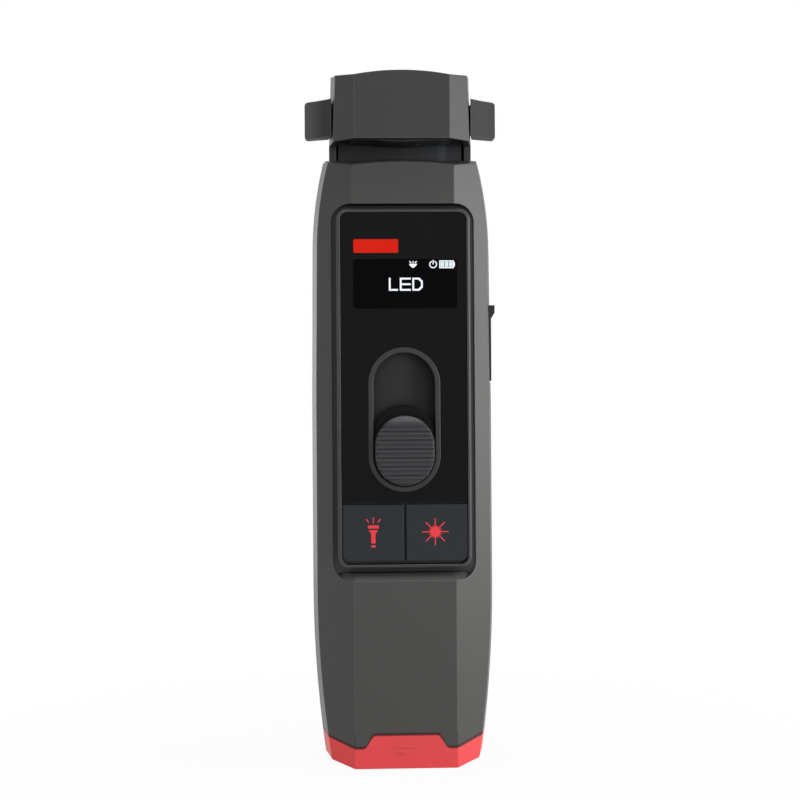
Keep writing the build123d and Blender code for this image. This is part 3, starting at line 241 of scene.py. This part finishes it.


# Spark-eroded ABS: fine grain that breaks the highlight into a soft satin sheen, with painted highlights
# on the facets' edges, painted shade in grooves and corners, and painted shade darkening it towards the
# neck
housingLook = {
    "colour": "#3B3A38", "colourFar": "#403F3D", "grainMm": 0.35, "cloudMm": 14.0,
    "roughness": 0.42, "roughnessSpread": 0.05, "bumpStrength": 0.25, "bumpMm": 0.02, "ior": 1.53,
    "specular": 0.32, "edgeMm": 0.4, "edgeFull": 0.97, "edgeShare": 0.4, "edgeColour": "#6C6B69",
    "cornerMm": 3.5, "cornerShare": 0.9, "cornerColour": "#181716",
    "seamFromMm": 10.6, "seamToMm": 10.0, "seamColour": "#150808",
    "zones": [{"axis": "Z", "fromMm": 148.0, "toMm": 172.0, "share": 0.7, "colour": "#2F2E2D"},
              {"axis": "Z", "fromMm": 171.0, "toMm": 178.0, "share": 1.0, "colour": "#282727"}],
}
housingAbs = texturedMaterial("sparkTexturedAbs", housingLook)
# The head cover: the same ABS, darker all over as painted shade for the lower light up at the head
headAbs = texturedMaterial("sparkTexturedHeadAbs", {
    **housingLook, "colour": "#262525", "colourFar": "#2B2A2A", "specular": 0.38, "zones": [],
})
# The shield is another moulding of the same ABS, duller than the shells, with a painted highlight out on
# its left ear
shieldAbs = texturedMaterial("sparkTexturedShieldAbs", {
    **housingLook, "colour": "#2F2E2E", "colourFar": "#343333", "specular": 0.14, "roughness": 0.55,
    "zones": [{"axis": "X", "fromMm": -21.0, "toMm": -27.5, "share": 1.0, "colour": "#535252"}],
})
# Moulded black ABS, plain tool finish: deep and dull, painted lighter from the middle rightwards, with a
# painted reflection as a soft pale band right of the middle and faint painted highlights on its edges
liningAbs = texturedMaterial("mouldedBlackAbs", {
    "colour": "#2A2B2D", "colourFar": "#2E2F31", "grainMm": 0.5, "cloudMm": 10.0,
    "roughness": 0.42, "roughnessSpread": 0.04, "bumpStrength": 0.12, "bumpMm": 0.01, "ior": 1.53,
    "specular": 0.2, "edgeMm": 0.2, "edgeShare": 0.3, "edgeColour": "#333436",
    "zones": [{"axis": "X", "fromMm": -8.0, "toMm": 9.0, "share": 1.0, "colour": "#3A3C3F"},
              {"axis": "X", "fromMm": 10.6, "toMm": 12.2, "share": 1.0, "colour": "#4C4E52"},
              {"axis": "X", "fromMm": 12.8, "toMm": 14.0, "share": 1.0, "colour": "#37393C"}],
})
# Black polyester shutter sheet behind the knob: matt, with painted shade in its corners and a painted
# shadow over its right side
shutterFilm = texturedMaterial("mattPolyesterFilm", {
    "colour": "#292A2A", "colourFar": "#2D2E2E", "grainMm": 0.4, "cloudMm": 9.0,
    "roughness": 0.45, "roughnessSpread": 0.04, "bumpStrength": 0.08, "bumpMm": 0.005, "ior": 1.57,
    "specular": 0.14, "cornerMm": 3.0, "cornerShare": 0.6, "cornerColour": "#0C0D0D",
    "zones": [{"axis": "X", "fromMm": -1.0, "toMm": 5.0, "share": 0.85, "colour": "#090A0A"}],
})
# Satin painted ABS rim: a painted highlight line on its bevel and painted shade down in the tray
bezelAbs = texturedMaterial("satinPaintedAbs", {
    "colour": "#232324", "colourFar": "#28282A", "grainMm": 0.3, "cloudMm": 9.0,
    "roughness": 0.34, "roughnessSpread": 0.04, "bumpStrength": 0.1, "bumpMm": 0.01, "ior": 1.53,
    "specular": 0.35, "edgeMm": 0.25, "edgeShare": 0.9, "edgeColour": "#737477",
    "zones": [{"axis": "Y", "fromMm": -17.0, "toMm": -16.5, "share": 1.0, "colour": "#0C0C0D"}],
})
# Back-printed acrylic window: smooth black with a clear skin over it
windowAcrylic = texturedMaterial("backPrintedAcrylic", {
    "colour": "#0B0C0C", "colourFar": "#0D0E0E", "grainMm": 3.0, "cloudMm": 30.0,
    "roughness": 0.12, "roughnessSpread": 0.01, "bumpStrength": 0.02, "bumpMm": 0.01, "ior": 1.49,
    "specular": 0.09,
})
# Display glass: blue-black, a touch deeper than the window round it
displayGlass = texturedMaterial("displayGlass", {
    "colour": "#030304", "colourFar": "#040406", "grainMm": 2.0, "cloudMm": 20.0,
    "roughness": 0.08, "roughnessSpread": 0.01, "bumpStrength": 0.01, "bumpMm": 0.01, "ior": 1.52,
    "specular": 0.03,
})
# Satin moulded ABS ring: an even dark grey with a faint painted highlight on its edge
ringAbs = texturedMaterial("satinMouldedAbs", {
    "colour": "#292A2A", "colourFar": "#2E2F2F", "grainMm": 0.3, "cloudMm": 8.0,
    "roughness": 0.42, "roughnessSpread": 0.04, "bumpStrength": 0.12, "bumpMm": 0.01, "ior": 1.53,
    "specular": 0.25, "edgeMm": 0.15, "edgeShare": 0.4, "edgeColour": "#4C4D4E",
})
# Fine-grained ABS knob: painted groove shade in lines across, a painted highlight at its top end, painted
# shade on the skirt below the pad and painted highlights on its edges
knobAbs = texturedMaterial("texturedKnobAbs", {
    "colour": "#38383A", "colourFar": "#3D3D3E", "grainMm": 0.3, "cloudMm": 8.0,
    "roughness": 0.42, "roughnessSpread": 0.05, "bumpStrength": 0.2, "bumpMm": 0.015, "ior": 1.53,
    "specular": 0.08, "edgeMm": 0.25, "edgeShare": 0.8, "edgeColour": "#6A6B6C",
    "linePitchMm": 1.225, "lineFromMm": 88.44, "lineMm": 0.2, "lineShare": 0.7, "lineColour": "#161617",
    "zones": [{"axis": "Z", "fromMm": 96.2, "toMm": 98.2, "share": 0.8, "colour": "#646465"},
              {"axis": "Y", "fromMm": -19.4, "toMm": -18.9, "share": 1.0, "colour": "#0A0B0B"}],
})
# Silicone keys with a matt coating: no glint, slightly blue, with faint painted highlights on their edges
keySilicone = texturedMaterial("coatedSiliconeKey", {
    "colour": "#272A2D", "colourFar": "#2B2E31", "grainMm": 0.25, "cloudMm": 7.0,
    "roughness": 0.62, "roughnessSpread": 0.04, "bumpStrength": 0.15, "bumpMm": 0.01, "ior": 1.43,
    "specular": 0.2, "edgeMm": 0.3, "edgeShare": 0.35, "edgeColour": "#3D4145",
})
# Moulded rubber flap: duller and darker than the shells, with faint painted highlights on its edges
flapRubber = texturedMaterial("mouldedRubber", {
    "colour": "#232324", "colourFar": "#282828", "grainMm": 0.3, "cloudMm": 6.0,
    "roughness": 0.7, "roughnessSpread": 0.05, "bumpStrength": 0.2, "bumpMm": 0.015, "ior": 1.52,
    "specular": 0.3, "edgeMm": 0.3, "edgeShare": 0.3, "edgeColour": "#3A3A3B",
})
# Red spark-textured ABS: even colour with a soft sheen and painted highlights on its edges, dark where it
# meets the shells
baseAbs = texturedMaterial("redTexturedAbs", {
    "colour": "#DA3E41", "colourFar": "#DE4445", "grainMm": 0.35, "cloudMm": 12.0,
    "roughness": 0.45, "roughnessSpread": 0.05, "bumpStrength": 0.22, "bumpMm": 0.018, "ior": 1.53,
    "specular": 0.32, "edgeMm": 0.3, "edgeShare": 0.7, "edgeColour": "#F06A6C",
    "partLine": {"middleMm": 9.7, "lowMm": 6.0, "tabFromMm": 8.6, "tabToMm": 12.2, "facetMm": 14.4,
                 "sideMm": 22.6, "riseMm": 2.7, "fromMm": 0.4, "toMm": 0.65, "share": 0.95,
                 "colour": "#4A080B"},
})
# Glass-epoxy board under solder mask: even deep green with a low gloss
boardEpoxy = texturedMaterial("solderMaskedBoard", {
    "colour": "#0F4A2A", "colourFar": "#135230", "grainMm": 0.6, "cloudMm": 5.0,
    "roughness": 0.35, "roughnessSpread": 0.05, "bumpStrength": 0.2, "bumpMm": 0.02, "ior": 1.55,
})
# Moulded black nylon of the small inner parts: near black, half matt
partNylon = texturedMaterial("mouldedBlackNylon", {
    "colour": "#1E1E1F", "colourFar": "#232324", "grainMm": 0.4, "cloudMm": 6.0,
    "roughness": 0.5, "roughnessSpread": 0.05, "bumpStrength": 0.15, "bumpMm": 0.01, "ior": 1.53,
})
# Zinc-plated steel: cool grey, with a fine grain that spreads the glint
platedSteel = texturedMaterial("zincPlatedSteel", {
    "colour": "#B9BABD", "colourFar": "#C6C7C9", "grainMm": 0.2, "cloudMm": 3.0, "metallic": 1.0,
    "roughness": 0.32, "roughnessSpread": 0.08, "bumpStrength": 0.2, "bumpMm": 0.01,
})
# Black-oxide steel of the screws that show at the back: a dark metal glint
oxideSteel = texturedMaterial("blackOxideSteel", {
    "colour": "#4B4C4E", "colourFar": "#545557", "grainMm": 0.25, "cloudMm": 2.0, "metallic": 1.0,
    "roughness": 0.42, "roughnessSpread": 0.06, "bumpStrength": 0.2, "bumpMm": 0.01,
})
# Gilt steel can of the detectors: pale gold, rather bright
giltCan = texturedMaterial("giltSteelCan", {
    "colour": "#D8B56A", "colourFar": "#E0C07C", "grainMm": 0.3, "cloudMm": 2.0, "metallic": 1.0,
    "roughness": 0.25, "roughnessSpread": 0.05, "bumpStrength": 0.1, "bumpMm": 0.01,
})
# Turned brass of the laser's barrel: a warm yellow metal
turnedBrass = texturedMaterial("turnedBrass", {
    "colour": "#C9A24E", "colourFar": "#D3AE5E", "grainMm": 0.2, "cloudMm": 2.0, "metallic": 1.0,
    "roughness": 0.28, "roughnessSpread": 0.06, "bumpStrength": 0.2, "bumpMm": 0.01,
})
# Turned steel of the outlet's ferrule: the brightest metal here
turnedSteel = texturedMaterial("turnedSteel", {
    "colour": "#BDBEC2", "colourFar": "#CBCCCF", "grainMm": 0.2, "cloudMm": 2.0, "metallic": 1.0,
    "roughness": 0.22, "roughnessSpread": 0.05, "bumpStrength": 0.15, "bumpMm": 0.01,
})
# Nickel-plated brass contacts: a pale, faintly warm metal
platedBrass = texturedMaterial("nickelPlatedBrass", {
    "colour": "#C8C2AE", "colourFar": "#D2CCB8", "grainMm": 0.2, "cloudMm": 2.0, "metallic": 1.0,
    "roughness": 0.3, "roughnessSpread": 0.06, "bumpStrength": 0.15, "bumpMm": 0.01,
})
# Shrink-wrapped cell: smooth film over the steel can
cellJacket = texturedMaterial("shrinkFilmJacket", {
    "colour": "#2C2F3A", "colourFar": "#31343F", "grainMm": 1.2, "cloudMm": 12.0,
    "roughness": 0.28, "roughnessSpread": 0.04, "bumpStrength": 0.1, "bumpMm": 0.02, "coat": 0.4,
})
# Clear moulded polycarbonate lens: pale, with a bright skin
lampPolycarbonate = texturedMaterial("clearPolycarbonate", {
    "colour": "#D9DEE4", "colourFar": "#E4E8EC", "grainMm": 1.0, "cloudMm": 4.0,
    "roughness": 0.08, "roughnessSpread": 0.02, "bumpStrength": 0.05, "bumpMm": 0.01, "ior": 1.58,
    "coat": 0.5,
})

finishes = {
    housingAbs: ("front_housing", "rear_housing"),
    headAbs: ("head_cover",),
    shieldAbs: ("light_shield",),
    liningAbs: ("slot_liner", "anvil_block", "clamp_jaw"),
    shutterFilm: ("dust_shutter",),
    bezelAbs: ("panel_bezel",),
    windowAcrylic: ("front_window",),
    displayGlass: ("display_module",),
    ringAbs: ("slider_ring",),
    knobAbs: ("thumb_slider",),
    keySilicone: ("flashlight_button", "laser_button"),
    flapRubber: ("port_cover",),
    baseAbs: ("battery_cover",),
    boardEpoxy: ("main_pcb", "key_board", "lamp_board"),
    partNylon: ("slider_carriage", "rod_guide", "battery_tray", "flashlight_switch",
                "laser_switch", "buzzer"),
    platedSteel: ("plunger_rod", "return_spring", "carriage_screws", "pcb_screws", "contact_springs"),
    oxideSteel: ("case_screws", "head_screws"),
    giltCan: ("detector_left", "detector_right"),
    turnedBrass: ("laser_module",),
    turnedSteel: ("port_ferrule",),
    lampPolycarbonate: ("head_lamp", "lamp_lens"),
    cellJacket: ("battery_left", "battery_right"),
    platedBrass: ("contact_bridge", "tray_contacts"),
}
for material, names in finishes.items():
    for name in names:
        slots = nodes[name].data.materials
        slots.clear()
        slots.append(material)
print("finishes given to", sum(len(names) for names in finishes.values()), "nodes")


# Printed and lit marks: thin pieces with the outline of the mark, seated on what carries them. Their
# outlines are closed loops of (x, z), all in millimetres

def flatPiece(name, outlines, frontY, thickness, material, body):
    # Makes each outline a plate that faces -Y
    mesh = bpy.data.meshes.new(name)
    form = bmesh.new()
    for outline in outlines:
        corners = [form.verts.new((x * mm, frontY * mm, z * mm)) for x, z in outline]
        face = form.faces.new(corners)
        if face.normal.y > 0:
            face.normal_flip()
        grown = bmesh.ops.extrude_face_region(form, geom=[face])
        moved = [v for v in grown["geom"] if isinstance(v, bmesh.types.BMVert)]
        bmesh.ops.translate(form, verts=moved, vec=(0, thickness * mm, 0))
    bmesh.ops.recalc_face_normals(form, faces=form.faces)
    form.to_mesh(mesh)
    form.free()
    piece = bpy.data.objects.new(name, mesh)
    bpy.context.scene.collection.objects.link(piece)
    mesh.materials.append(material)
    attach(piece, body)


def boxCorners(name):
    # The low and the high corner of a piece
    return [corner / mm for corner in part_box(name)]


def rectangle(lowX, highX, lowZ, highZ):
    return [(lowX, lowZ), (highX, lowZ), (highX, highZ), (lowX, highZ)]


def roundedRectangle(lowX, highX, lowZ, highZ, radius, steps=6):
    corners = ((highX - radius, highZ - radius, 0), (lowX + radius, highZ - radius, 90),
               (lowX + radius, lowZ + radius, 180), (highX - radius, lowZ + radius, 270))
    loop = []
    for x, z, start in corners:
        for step in range(steps + 1):
            angle = math.radians(start + 90 * step / steps)
            loop.append((x + radius * math.cos(angle), z + radius * math.sin(angle)))
    return loop


def bar(startX, startZ, endX, endZ, width):
    # A straight stroke between two points
    along = Vector((endX - startX, endZ - startZ)).normalized() * (width / 2)
    side = Vector((-along.y, along.x))
    return [(startX + side.x, startZ + side.y), (startX - side.x, startZ - side.y),
            (endX - side.x, endZ - side.y), (endX + side.x, endZ + side.y)]


def ringSector(x, z, inner, outer, startDeg, endDeg, steps):
    # A closed band along part of a circle
    angles = [math.radians(startDeg + (endDeg - startDeg) * i / steps) for i in range(steps + 1)]
    loop = [(x + outer * math.cos(a), z + outer * math.sin(a)) for a in angles]
    loop += [(x + inner * math.cos(a), z + inner * math.sin(a)) for a in reversed(angles)]
    return loop


def moveLoops(loops, x, z):
    return [[(x + u, z + v) for u, v in loop] for loop in loops]


# Screen-printed red ink, slightly raised and matt
redInk = texturedMaterial("screenPrintedRedInk", {
    "colour": "#E63A40", "colourFar": "#EA4046", "grainMm": 0.2, "cloudMm": 3.0,
    "roughness": 0.5, "roughnessSpread": 0.04, "bumpStrength": 0.1, "bumpMm": 0.005, "specular": 0.2,
})
# Orange-red ink printed behind the window: flat and even under the acrylic
badgeInk = texturedMaterial("backPrintedBadgeInk", {
    "colour": "#D41F10", "colourFar": "#D92313", "grainMm": 0.4, "cloudMm": 4.0,
    "roughness": 0.3, "roughnessSpread": 0.03, "bumpStrength": 0.05, "bumpMm": 0.005, "ior": 1.49,
    "specular": 0.05,
})
# Lit pixels of the organic display: cold white, and paler for the cells of the battery icon
litPixels = litMaterial("coldWhitePixels", "#F0F4FF", 1.08)
dimPixels = litMaterial("paleCyanPixels", "#DAEAEC", 1.0)

# How far print and lit pixels stand proud of what carries them, and how deep they go
ink = {"proud": 0.03, "deep": 0.25}
pixel = {"proud": 0.02, "deep": 0.1}

# The lit area of the display, over the middle of the module behind it
windowLow = boxCorners("front_window")[0]
displayLow, displayHigh = boxCorners("display_module")
screen = {"width": 29.2, "height": 13.9, "radius": 1.0, "centreX": 0.5}
screenMidZ = (displayLow.z + displayHigh.z) / 2
screenTop = windowLow.y - ink["proud"]
screenLoop = roundedRectangle(
    screen["centreX"] - screen["width"] / 2, screen["centreX"] + screen["width"] / 2,
    screenMidZ - screen["height"] / 2, screenMidZ + screen["height"] / 2, screen["radius"],
)
flatPiece("screen_glass", [screenLoop], screenTop, ink["deep"], displayGlass, "housing")

# Plain red badge
badge = {"lowX": -13.97, "highX": -1.43, "lowZ": 144.57, "highZ": 148.38, "radius": 0.35}
badgeLoop = roundedRectangle(badge["lowX"], badge["highX"], badge["lowZ"], badge["highZ"], badge["radius"])
flatPiece("plain_badge", [badgeLoop], screenTop, ink["deep"], badgeInk, "housing")

# Flashlight mark: three rays, head, cone, body and tail; heights are from the middle of the key
torch = {"ray": 0.3, "headHalf": 1.53, "headLow": 1.31, "headHigh": 2.18, "coneTopHalf": 1.33,
         "coneTop": 0.86, "coneEdge": 0.62, "coneInset": 0.2, "coneLow": -0.16, "bodyHalf": 0.6,
         "bodyLow": -2.84, "tailHalf": 0.6, "tailTop": -3.4, "tailLow": -3.97, "rayLow": 2.75,
         "rayHigh": 4.42, "slantNear": (1.28, 3.0), "slantFar": (2.03, 3.95), "fromMiddle": 0.04}
keyLow, keyHigh = boxCorners("flashlight_button")
keyX, keyZ = (keyLow.x + keyHigh.x) / 2 + torch["fromMiddle"], (keyLow.z + keyHigh.z) / 2
nearX, nearZ = torch["slantNear"]
farX, farZ = torch["slantFar"]
torchLoops = [
    rectangle(-torch["headHalf"], torch["headHalf"], torch["headLow"], torch["headHigh"]),
    [(-torch["coneTopHalf"], torch["coneTop"]),
     (-torch["coneTopHalf"] + torch["coneInset"], torch["coneEdge"]),
     (-torch["bodyHalf"], torch["coneLow"]), (-torch["bodyHalf"], torch["bodyLow"]),
     (torch["bodyHalf"], torch["bodyLow"]), (torch["bodyHalf"], torch["coneLow"]),
     (torch["coneTopHalf"] - torch["coneInset"], torch["coneEdge"]),
     (torch["coneTopHalf"], torch["coneTop"])],
    rectangle(-torch["tailHalf"], torch["tailHalf"], torch["tailLow"], torch["tailTop"]),
    bar(0, torch["rayLow"], 0, torch["rayHigh"], torch["ray"]),
    bar(-nearX, nearZ, -farX, farZ, torch["ray"]),
    bar(nearX, nearZ, farX, farZ, torch["ray"]),
]
flatPiece("flashlight_mark", moveLoops(torchLoops, keyX, keyZ), keyLow.y - ink["proud"], ink["deep"],
          redInk, "flashlight_key")

# Laser mark: eight long rays, and a small burst with short spikes a hair over them
burst = {"rayFrom": 1.0, "rayTo": 3.76, "line": 0.28, "disc": 1.25, "spike": 2.0, "points": 24,
         "rays": 8, "fromMiddle": -0.5, "overMiddle": 0.26, "over": 0.01, "deep": 0.2}
laserLow, laserHigh = boxCorners("laser_button")
laserX = (laserLow.x + laserHigh.x) / 2 + burst["fromMiddle"]
laserZ = (laserLow.z + laserHigh.z) / 2 + burst["overMiddle"]
laserTop = laserLow.y - ink["proud"]
spikeLoop = []
for step in range(2 * burst["points"]):
    reach = burst["disc"] if step % 2 else burst["spike"]
    angle = math.pi * step / burst["points"]
    spikeLoop.append((laserX + reach * math.cos(angle), laserZ + reach * math.sin(angle)))
rayLoops = []
for step in range(burst["rays"]):
    angle = 2 * math.pi * step / burst["rays"]
    across, up = math.cos(angle), math.sin(angle)
    rayLoops.append(bar(laserX + across * burst["rayFrom"], laserZ + up * burst["rayFrom"],
                        laserX + across * burst["rayTo"], laserZ + up * burst["rayTo"], burst["line"]))
flatPiece("laser_mark", rayLoops, laserTop, ink["deep"], redInk, "laser_key")
flatPiece("laser_mark_burst", [spikeLoop], laserTop - burst["over"], burst["deep"], redInk,
          "laser_key")

# Mode word, in strokes from the middle of the display; the D's two right corners are cut off straight
word = {"stroke": 0.5, "low": -1.9, "high": 1.74, "cut": 0.95, "cutInset": 0.41, "underMiddle": 0.08,
        "letters": {"L": (-4.6, -2.05), "E": (-1.52, 1.55), "D": (2.0, 4.92)}}
stroke, low, high = word["stroke"], word["low"], word["high"]
leftL, rightL = word["letters"]["L"]
leftE, rightE = word["letters"]["E"]
leftD, rightD = word["letters"]["D"]
midZ = (low + high) / 2
outerCut = word["cut"]
innerCut = outerCut - stroke * word["cutInset"]
wordLoops = [
    rectangle(leftL, leftL + stroke, low, high),
    rectangle(leftL + stroke, rightL, low, low + stroke),
    rectangle(leftE, leftE + stroke, low, high),
    rectangle(leftE + stroke, rightE, low, low + stroke),
    rectangle(leftE + stroke, rightE, midZ - stroke / 2, midZ + stroke / 2),
    rectangle(leftE + stroke, rightE, high - stroke, high),
    rectangle(leftD, leftD + stroke, low, high),
    [(leftD + stroke, high - stroke), (rightD - stroke - innerCut, high - stroke),
     (rightD - stroke, high - stroke - innerCut), (rightD - stroke, low + stroke + innerCut),
     (rightD - stroke - innerCut, low + stroke), (leftD + stroke, low + stroke), (leftD + stroke, low),
     (rightD - outerCut, low), (rightD, low + outerCut), (rightD, high - outerCut),
     (rightD - outerCut, high), (leftD + stroke, high)],
]
litTop = screenTop - pixel["proud"]
flatPiece("mode_word", moveLoops(wordLoops, screen["centreX"], screenMidZ - word["underMiddle"]),
          litTop, pixel["deep"], litPixels, "housing")

# Status icons in a row: a small lamp, a power ring that is open at its top, and a battery with bars
iconsOverMiddle = 5.39
iconZ = screenMidZ + iconsOverMiddle
power = {"x": screen["centreX"] + 7.87, "radius": 1.1, "line": 0.3, "gapDeg": 50, "steps": 32,
         "stemLow": 0.0, "stemHigh": 1.2}
batteryMark = {"lowX": screen["centreX"] + 9.58, "width": 4.1, "height": 2.2, "line": 0.3, "nub": 0.28,
               "nubHalf": 0.6, "bars": 3, "between": 0.16}
lampMark = {"x": screen["centreX"] + 2.22, "bowl": 1.14, "bowlTop": 0.18, "ray": 0.28, "rayLow": 0.36,
            "rayHigh": 0.92, "rayNear": 0.5, "rayFar": 1.0,
            "bowlShape": ((-1, 0), (-0.85, 0.38), (-0.4, 0.8), (0, 1.05), (0.4, 0.8), (0.85, 0.38),
                          (1, 0))}
frameLine, between = batteryMark["line"], batteryMark["between"]
batteryLeft, batteryRight = batteryMark["lowX"], batteryMark["lowX"] + batteryMark["width"]
batteryLow, batteryHigh = iconZ - batteryMark["height"] / 2, iconZ + batteryMark["height"] / 2
iconLoops = [
    ringSector(power["x"], iconZ, power["radius"] - power["line"], power["radius"],
               90 + power["gapDeg"] / 2, 450 - power["gapDeg"] / 2, power["steps"]),
    bar(power["x"], iconZ + power["stemLow"], power["x"], iconZ + power["stemHigh"], power["line"]),
    rectangle(batteryLeft, batteryRight, batteryLow, batteryLow + frameLine),
    rectangle(batteryLeft, batteryRight, batteryHigh - frameLine, batteryHigh),
    rectangle(batteryLeft, batteryLeft + frameLine, batteryLow + frameLine, batteryHigh - frameLine),
    rectangle(batteryRight - frameLine, batteryRight, batteryLow + frameLine, batteryHigh - frameLine),
    rectangle(batteryRight, batteryRight + batteryMark["nub"], iconZ - batteryMark["nubHalf"],
              iconZ + batteryMark["nubHalf"]),
    [(lampMark["x"] + lampMark["bowl"] * across, iconZ + lampMark["bowlTop"] - lampMark["bowl"] * down)
     for across, down in lampMark["bowlShape"]],
]
for side in (-1, 0, 1):
    iconLoops.append(bar(lampMark["x"] + side * lampMark["rayNear"], iconZ + lampMark["rayLow"],
                         lampMark["x"] + side * lampMark["rayFar"], iconZ + lampMark["rayHigh"],
                         lampMark["ray"]))
barPitch = (batteryMark["width"] - 2 * frameLine) / batteryMark["bars"]
cellLoops = []
for step in range(batteryMark["bars"]):
    barLeft = batteryLeft + frameLine + barPitch * step + between / 2
    cellLoops.append(rectangle(barLeft, barLeft + barPitch - between,
                               batteryLow + frameLine + between / 2,
                               batteryHigh - frameLine - between / 2))
flatPiece("status_icons", iconLoops, litTop, pixel["deep"], litPixels, "housing")
flatPiece("battery_cells", cellLoops, litTop, pixel["deep"], dimPixels, "housing")

# Painted shade of the screws' cross recesses: dull, near-black steel
recessShade = texturedMaterial("screwRecessShade", {
    "colour": "#0B0B0C", "colourFar": "#101011", "grainMm": 0.2, "cloudMm": 1.0,
    "roughness": 0.6, "roughnessSpread": 0.05, "bumpStrength": 0.1, "bumpMm": 0.01, "specular": 0.2,
})
# Each recess is painted as a thin dark cross set into its screw's head at the back. The screws stand at
# the corners of their group's box, which is one head high where the group is a single row
drive = {"headRadius": 2.4, "halfLength": 1.35, "width": 0.62, "deep": 0.2, "proud": 0.02}
arm = drive["halfLength"] * math.sqrt(0.5)
for screws in ("case_screws", "head_screws"):
    screwLow, screwHigh = boxCorners(screws)
    rows = {round(screwLow.z + drive["headRadius"], 2), round(screwHigh.z - drive["headRadius"], 2)}
    crossLoops = []
    for x in (screwLow.x + drive["headRadius"], screwHigh.x - drive["headRadius"]):
        for z in sorted(rows):
            for slant in (1, -1):
                crossLoops.append(bar(x - arm, z - arm * slant, x + arm, z + arm * slant, drive["width"]))
    flatPiece(screws + "_drive_shade", crossLoops, screwHigh.y - drive["deep"],
              drive["deep"] + drive["proud"], recessShade, "housing")
print("marks made")


# Floor and room: white to the eye and in reflections, with the floor keeping a soft shadow

def whiteToTheEye(tree):
    # 1 for what is seen straight, in gloss or through something clear, and 0 for what only gives light
    path = addNode(tree, "ShaderNodeLightPath").outputs
    seen = calculate(tree, "MAXIMUM", path["Is Camera Ray"], path["Is Glossy Ray"])
    return calculate(tree, "MAXIMUM", seen, path["Is Transmission Ray"])


# White paper: plain white to the eye, with part of its real shading kept close to the object
floorLook = {"halfSize": 3.0, "colour": "#FAFAFA", "white": "#FFFFFF", "shadowShare": 0.06,
             "shadowFrom": 0.04, "shadowTo": 0.2}
paperFloor, floorTree = newMaterial("paperFloor")
paper = addNode(floorTree, "ShaderNodeBsdfDiffuse", {"Color": toLinear(floorLook["colour"])})
plainWhite = addNode(floorTree, "ShaderNodeEmission", {"Color": toLinear(floorLook["white"])})
floorPlace = addNode(floorTree, "ShaderNodeTexCoord").outputs["Object"]
fromMiddle = addNode(floorTree, "ShaderNodeVectorMath", {"operation": "LENGTH"}, {0: floorPlace})
plain = mapRange(floorTree, fromMiddle.outputs["Value"], floorLook["shadowFrom"],
                 floorLook["shadowTo"], 1 - floorLook["shadowShare"], 1.0, "SMOOTHSTEP")
cover = calculate(floorTree, "MULTIPLY", whiteToTheEye(floorTree), plain)
floorShade = addNode(floorTree, "ShaderNodeMixShader",
                     links={0: cover, 1: paper.outputs[0], 2: plainWhite.outputs[0]})
addNode(floorTree, "ShaderNodeOutputMaterial", links={"Surface": floorShade.outputs[0]})

edge = floorLook["halfSize"]
floorMesh = bpy.data.meshes.new("floor")
floorMesh.from_pydata([(-edge, -edge, 0), (edge, -edge, 0), (edge, edge, 0), (-edge, edge, 0)], [],
                      [(0, 1, 2, 3)])
floorMesh.materials.append(paperFloor)
floor = bpy.data.objects.new("floor", floorMesh)
bpy.context.scene.collection.objects.link(floor)

# The room lights from all sides in a faintly cold white
roomLook = {"colour": "#F4F6FA", "strength": 0.64, "white": "#FFFFFF"}
world = bpy.data.worlds.new("softRoom")
bpy.context.scene.world = world
world.use_nodes = True
roomTree = world.node_tree
roomTree.nodes.clear()
room = addNode(roomTree, "ShaderNodeBackground",
               {"Color": toLinear(roomLook["colour"]), "Strength": roomLook["strength"]})
backdrop = addNode(roomTree, "ShaderNodeBackground", {"Color": toLinear(roomLook["white"])})
roomShade = addNode(roomTree, "ShaderNodeMixShader",
                    links={0: whiteToTheEye(roomTree), 1: room.outputs[0], 2: backdrop.outputs[0]})
addNode(roomTree, "ShaderNodeOutputWorld", links={"Surface": roomShade.outputs[0]})


def turnTo(place, target):
    # The turn that points a light or the camera from its place to its target
    return (Vector(target) - Vector(place)).to_track_quat("-Z", "Y")


def softLight(name, look):
    lamp = bpy.data.lights.new(name, "AREA")
    lamp.shape = "RECTANGLE"
    lamp.size, lamp.size_y = look["size"]
    lamp.energy = look["watts"]
    light = bpy.data.objects.new(name, lamp)
    light.location = look["place"]
    light.rotation_euler = turnTo(look["place"], look["aim"]).to_euler()
    bpy.context.scene.collection.objects.link(light)


# A soft key from the front right, a box overhead, a side box whose gloss runs down the right facet
# and a rim at the left
lights = {
    "frontKey": {"place": (0.5, -0.95, 0.12), "aim": (0, 0, 0.09), "size": (0.5, 0.5), "watts": 3.0},
    "overheadBox": {"place": (0.1, -0.45, 1.05), "aim": (0, 0, 0.1), "size": (0.5, 0.5), "watts": 1.4},
    "rightSoftbox": {"place": (0.74, -0.14, 0.2), "aim": (0, 0, 0.14), "size": (0.22, 0.4), "watts": 3.2},
    "leftRim": {"place": (-0.5, 0.55, 0.09), "aim": (0, 0, 0.08), "size": (0.3, 0.34), "watts": 1.25},
}
for name, look in lights.items():
    softLight(name, look)
print("stage and lights ready")


# Camera: level, a little to the object's left and leaning a touch
view = {"place": (-0.020, -0.4756, 0.1033), "target": (-0.0005, 0.0, 0.1033), "lens": 73.7,
        "sensor": 36.0, "rollDeg": -0.4, "clip": (0.01, 20.0)}
camera = bpy.data.objects.new("camera", bpy.data.cameras.new("camera"))
bpy.context.scene.collection.objects.link(camera)
camera.data.sensor_width = view["sensor"]
camera.data.lens = view["lens"]
camera.data.clip_start, camera.data.clip_end = view["clip"]
camera.location = view["place"]
camera.rotation_mode = "QUATERNION"
roll = Quaternion((0, 0, 1), math.radians(view["rollDeg"]))
camera.rotation_quaternion = turnTo(view["place"], view["target"]) @ roll
bpy.context.scene.camera = camera
bpy.context.scene.view_settings.view_transform = "Standard"
print("camera set")
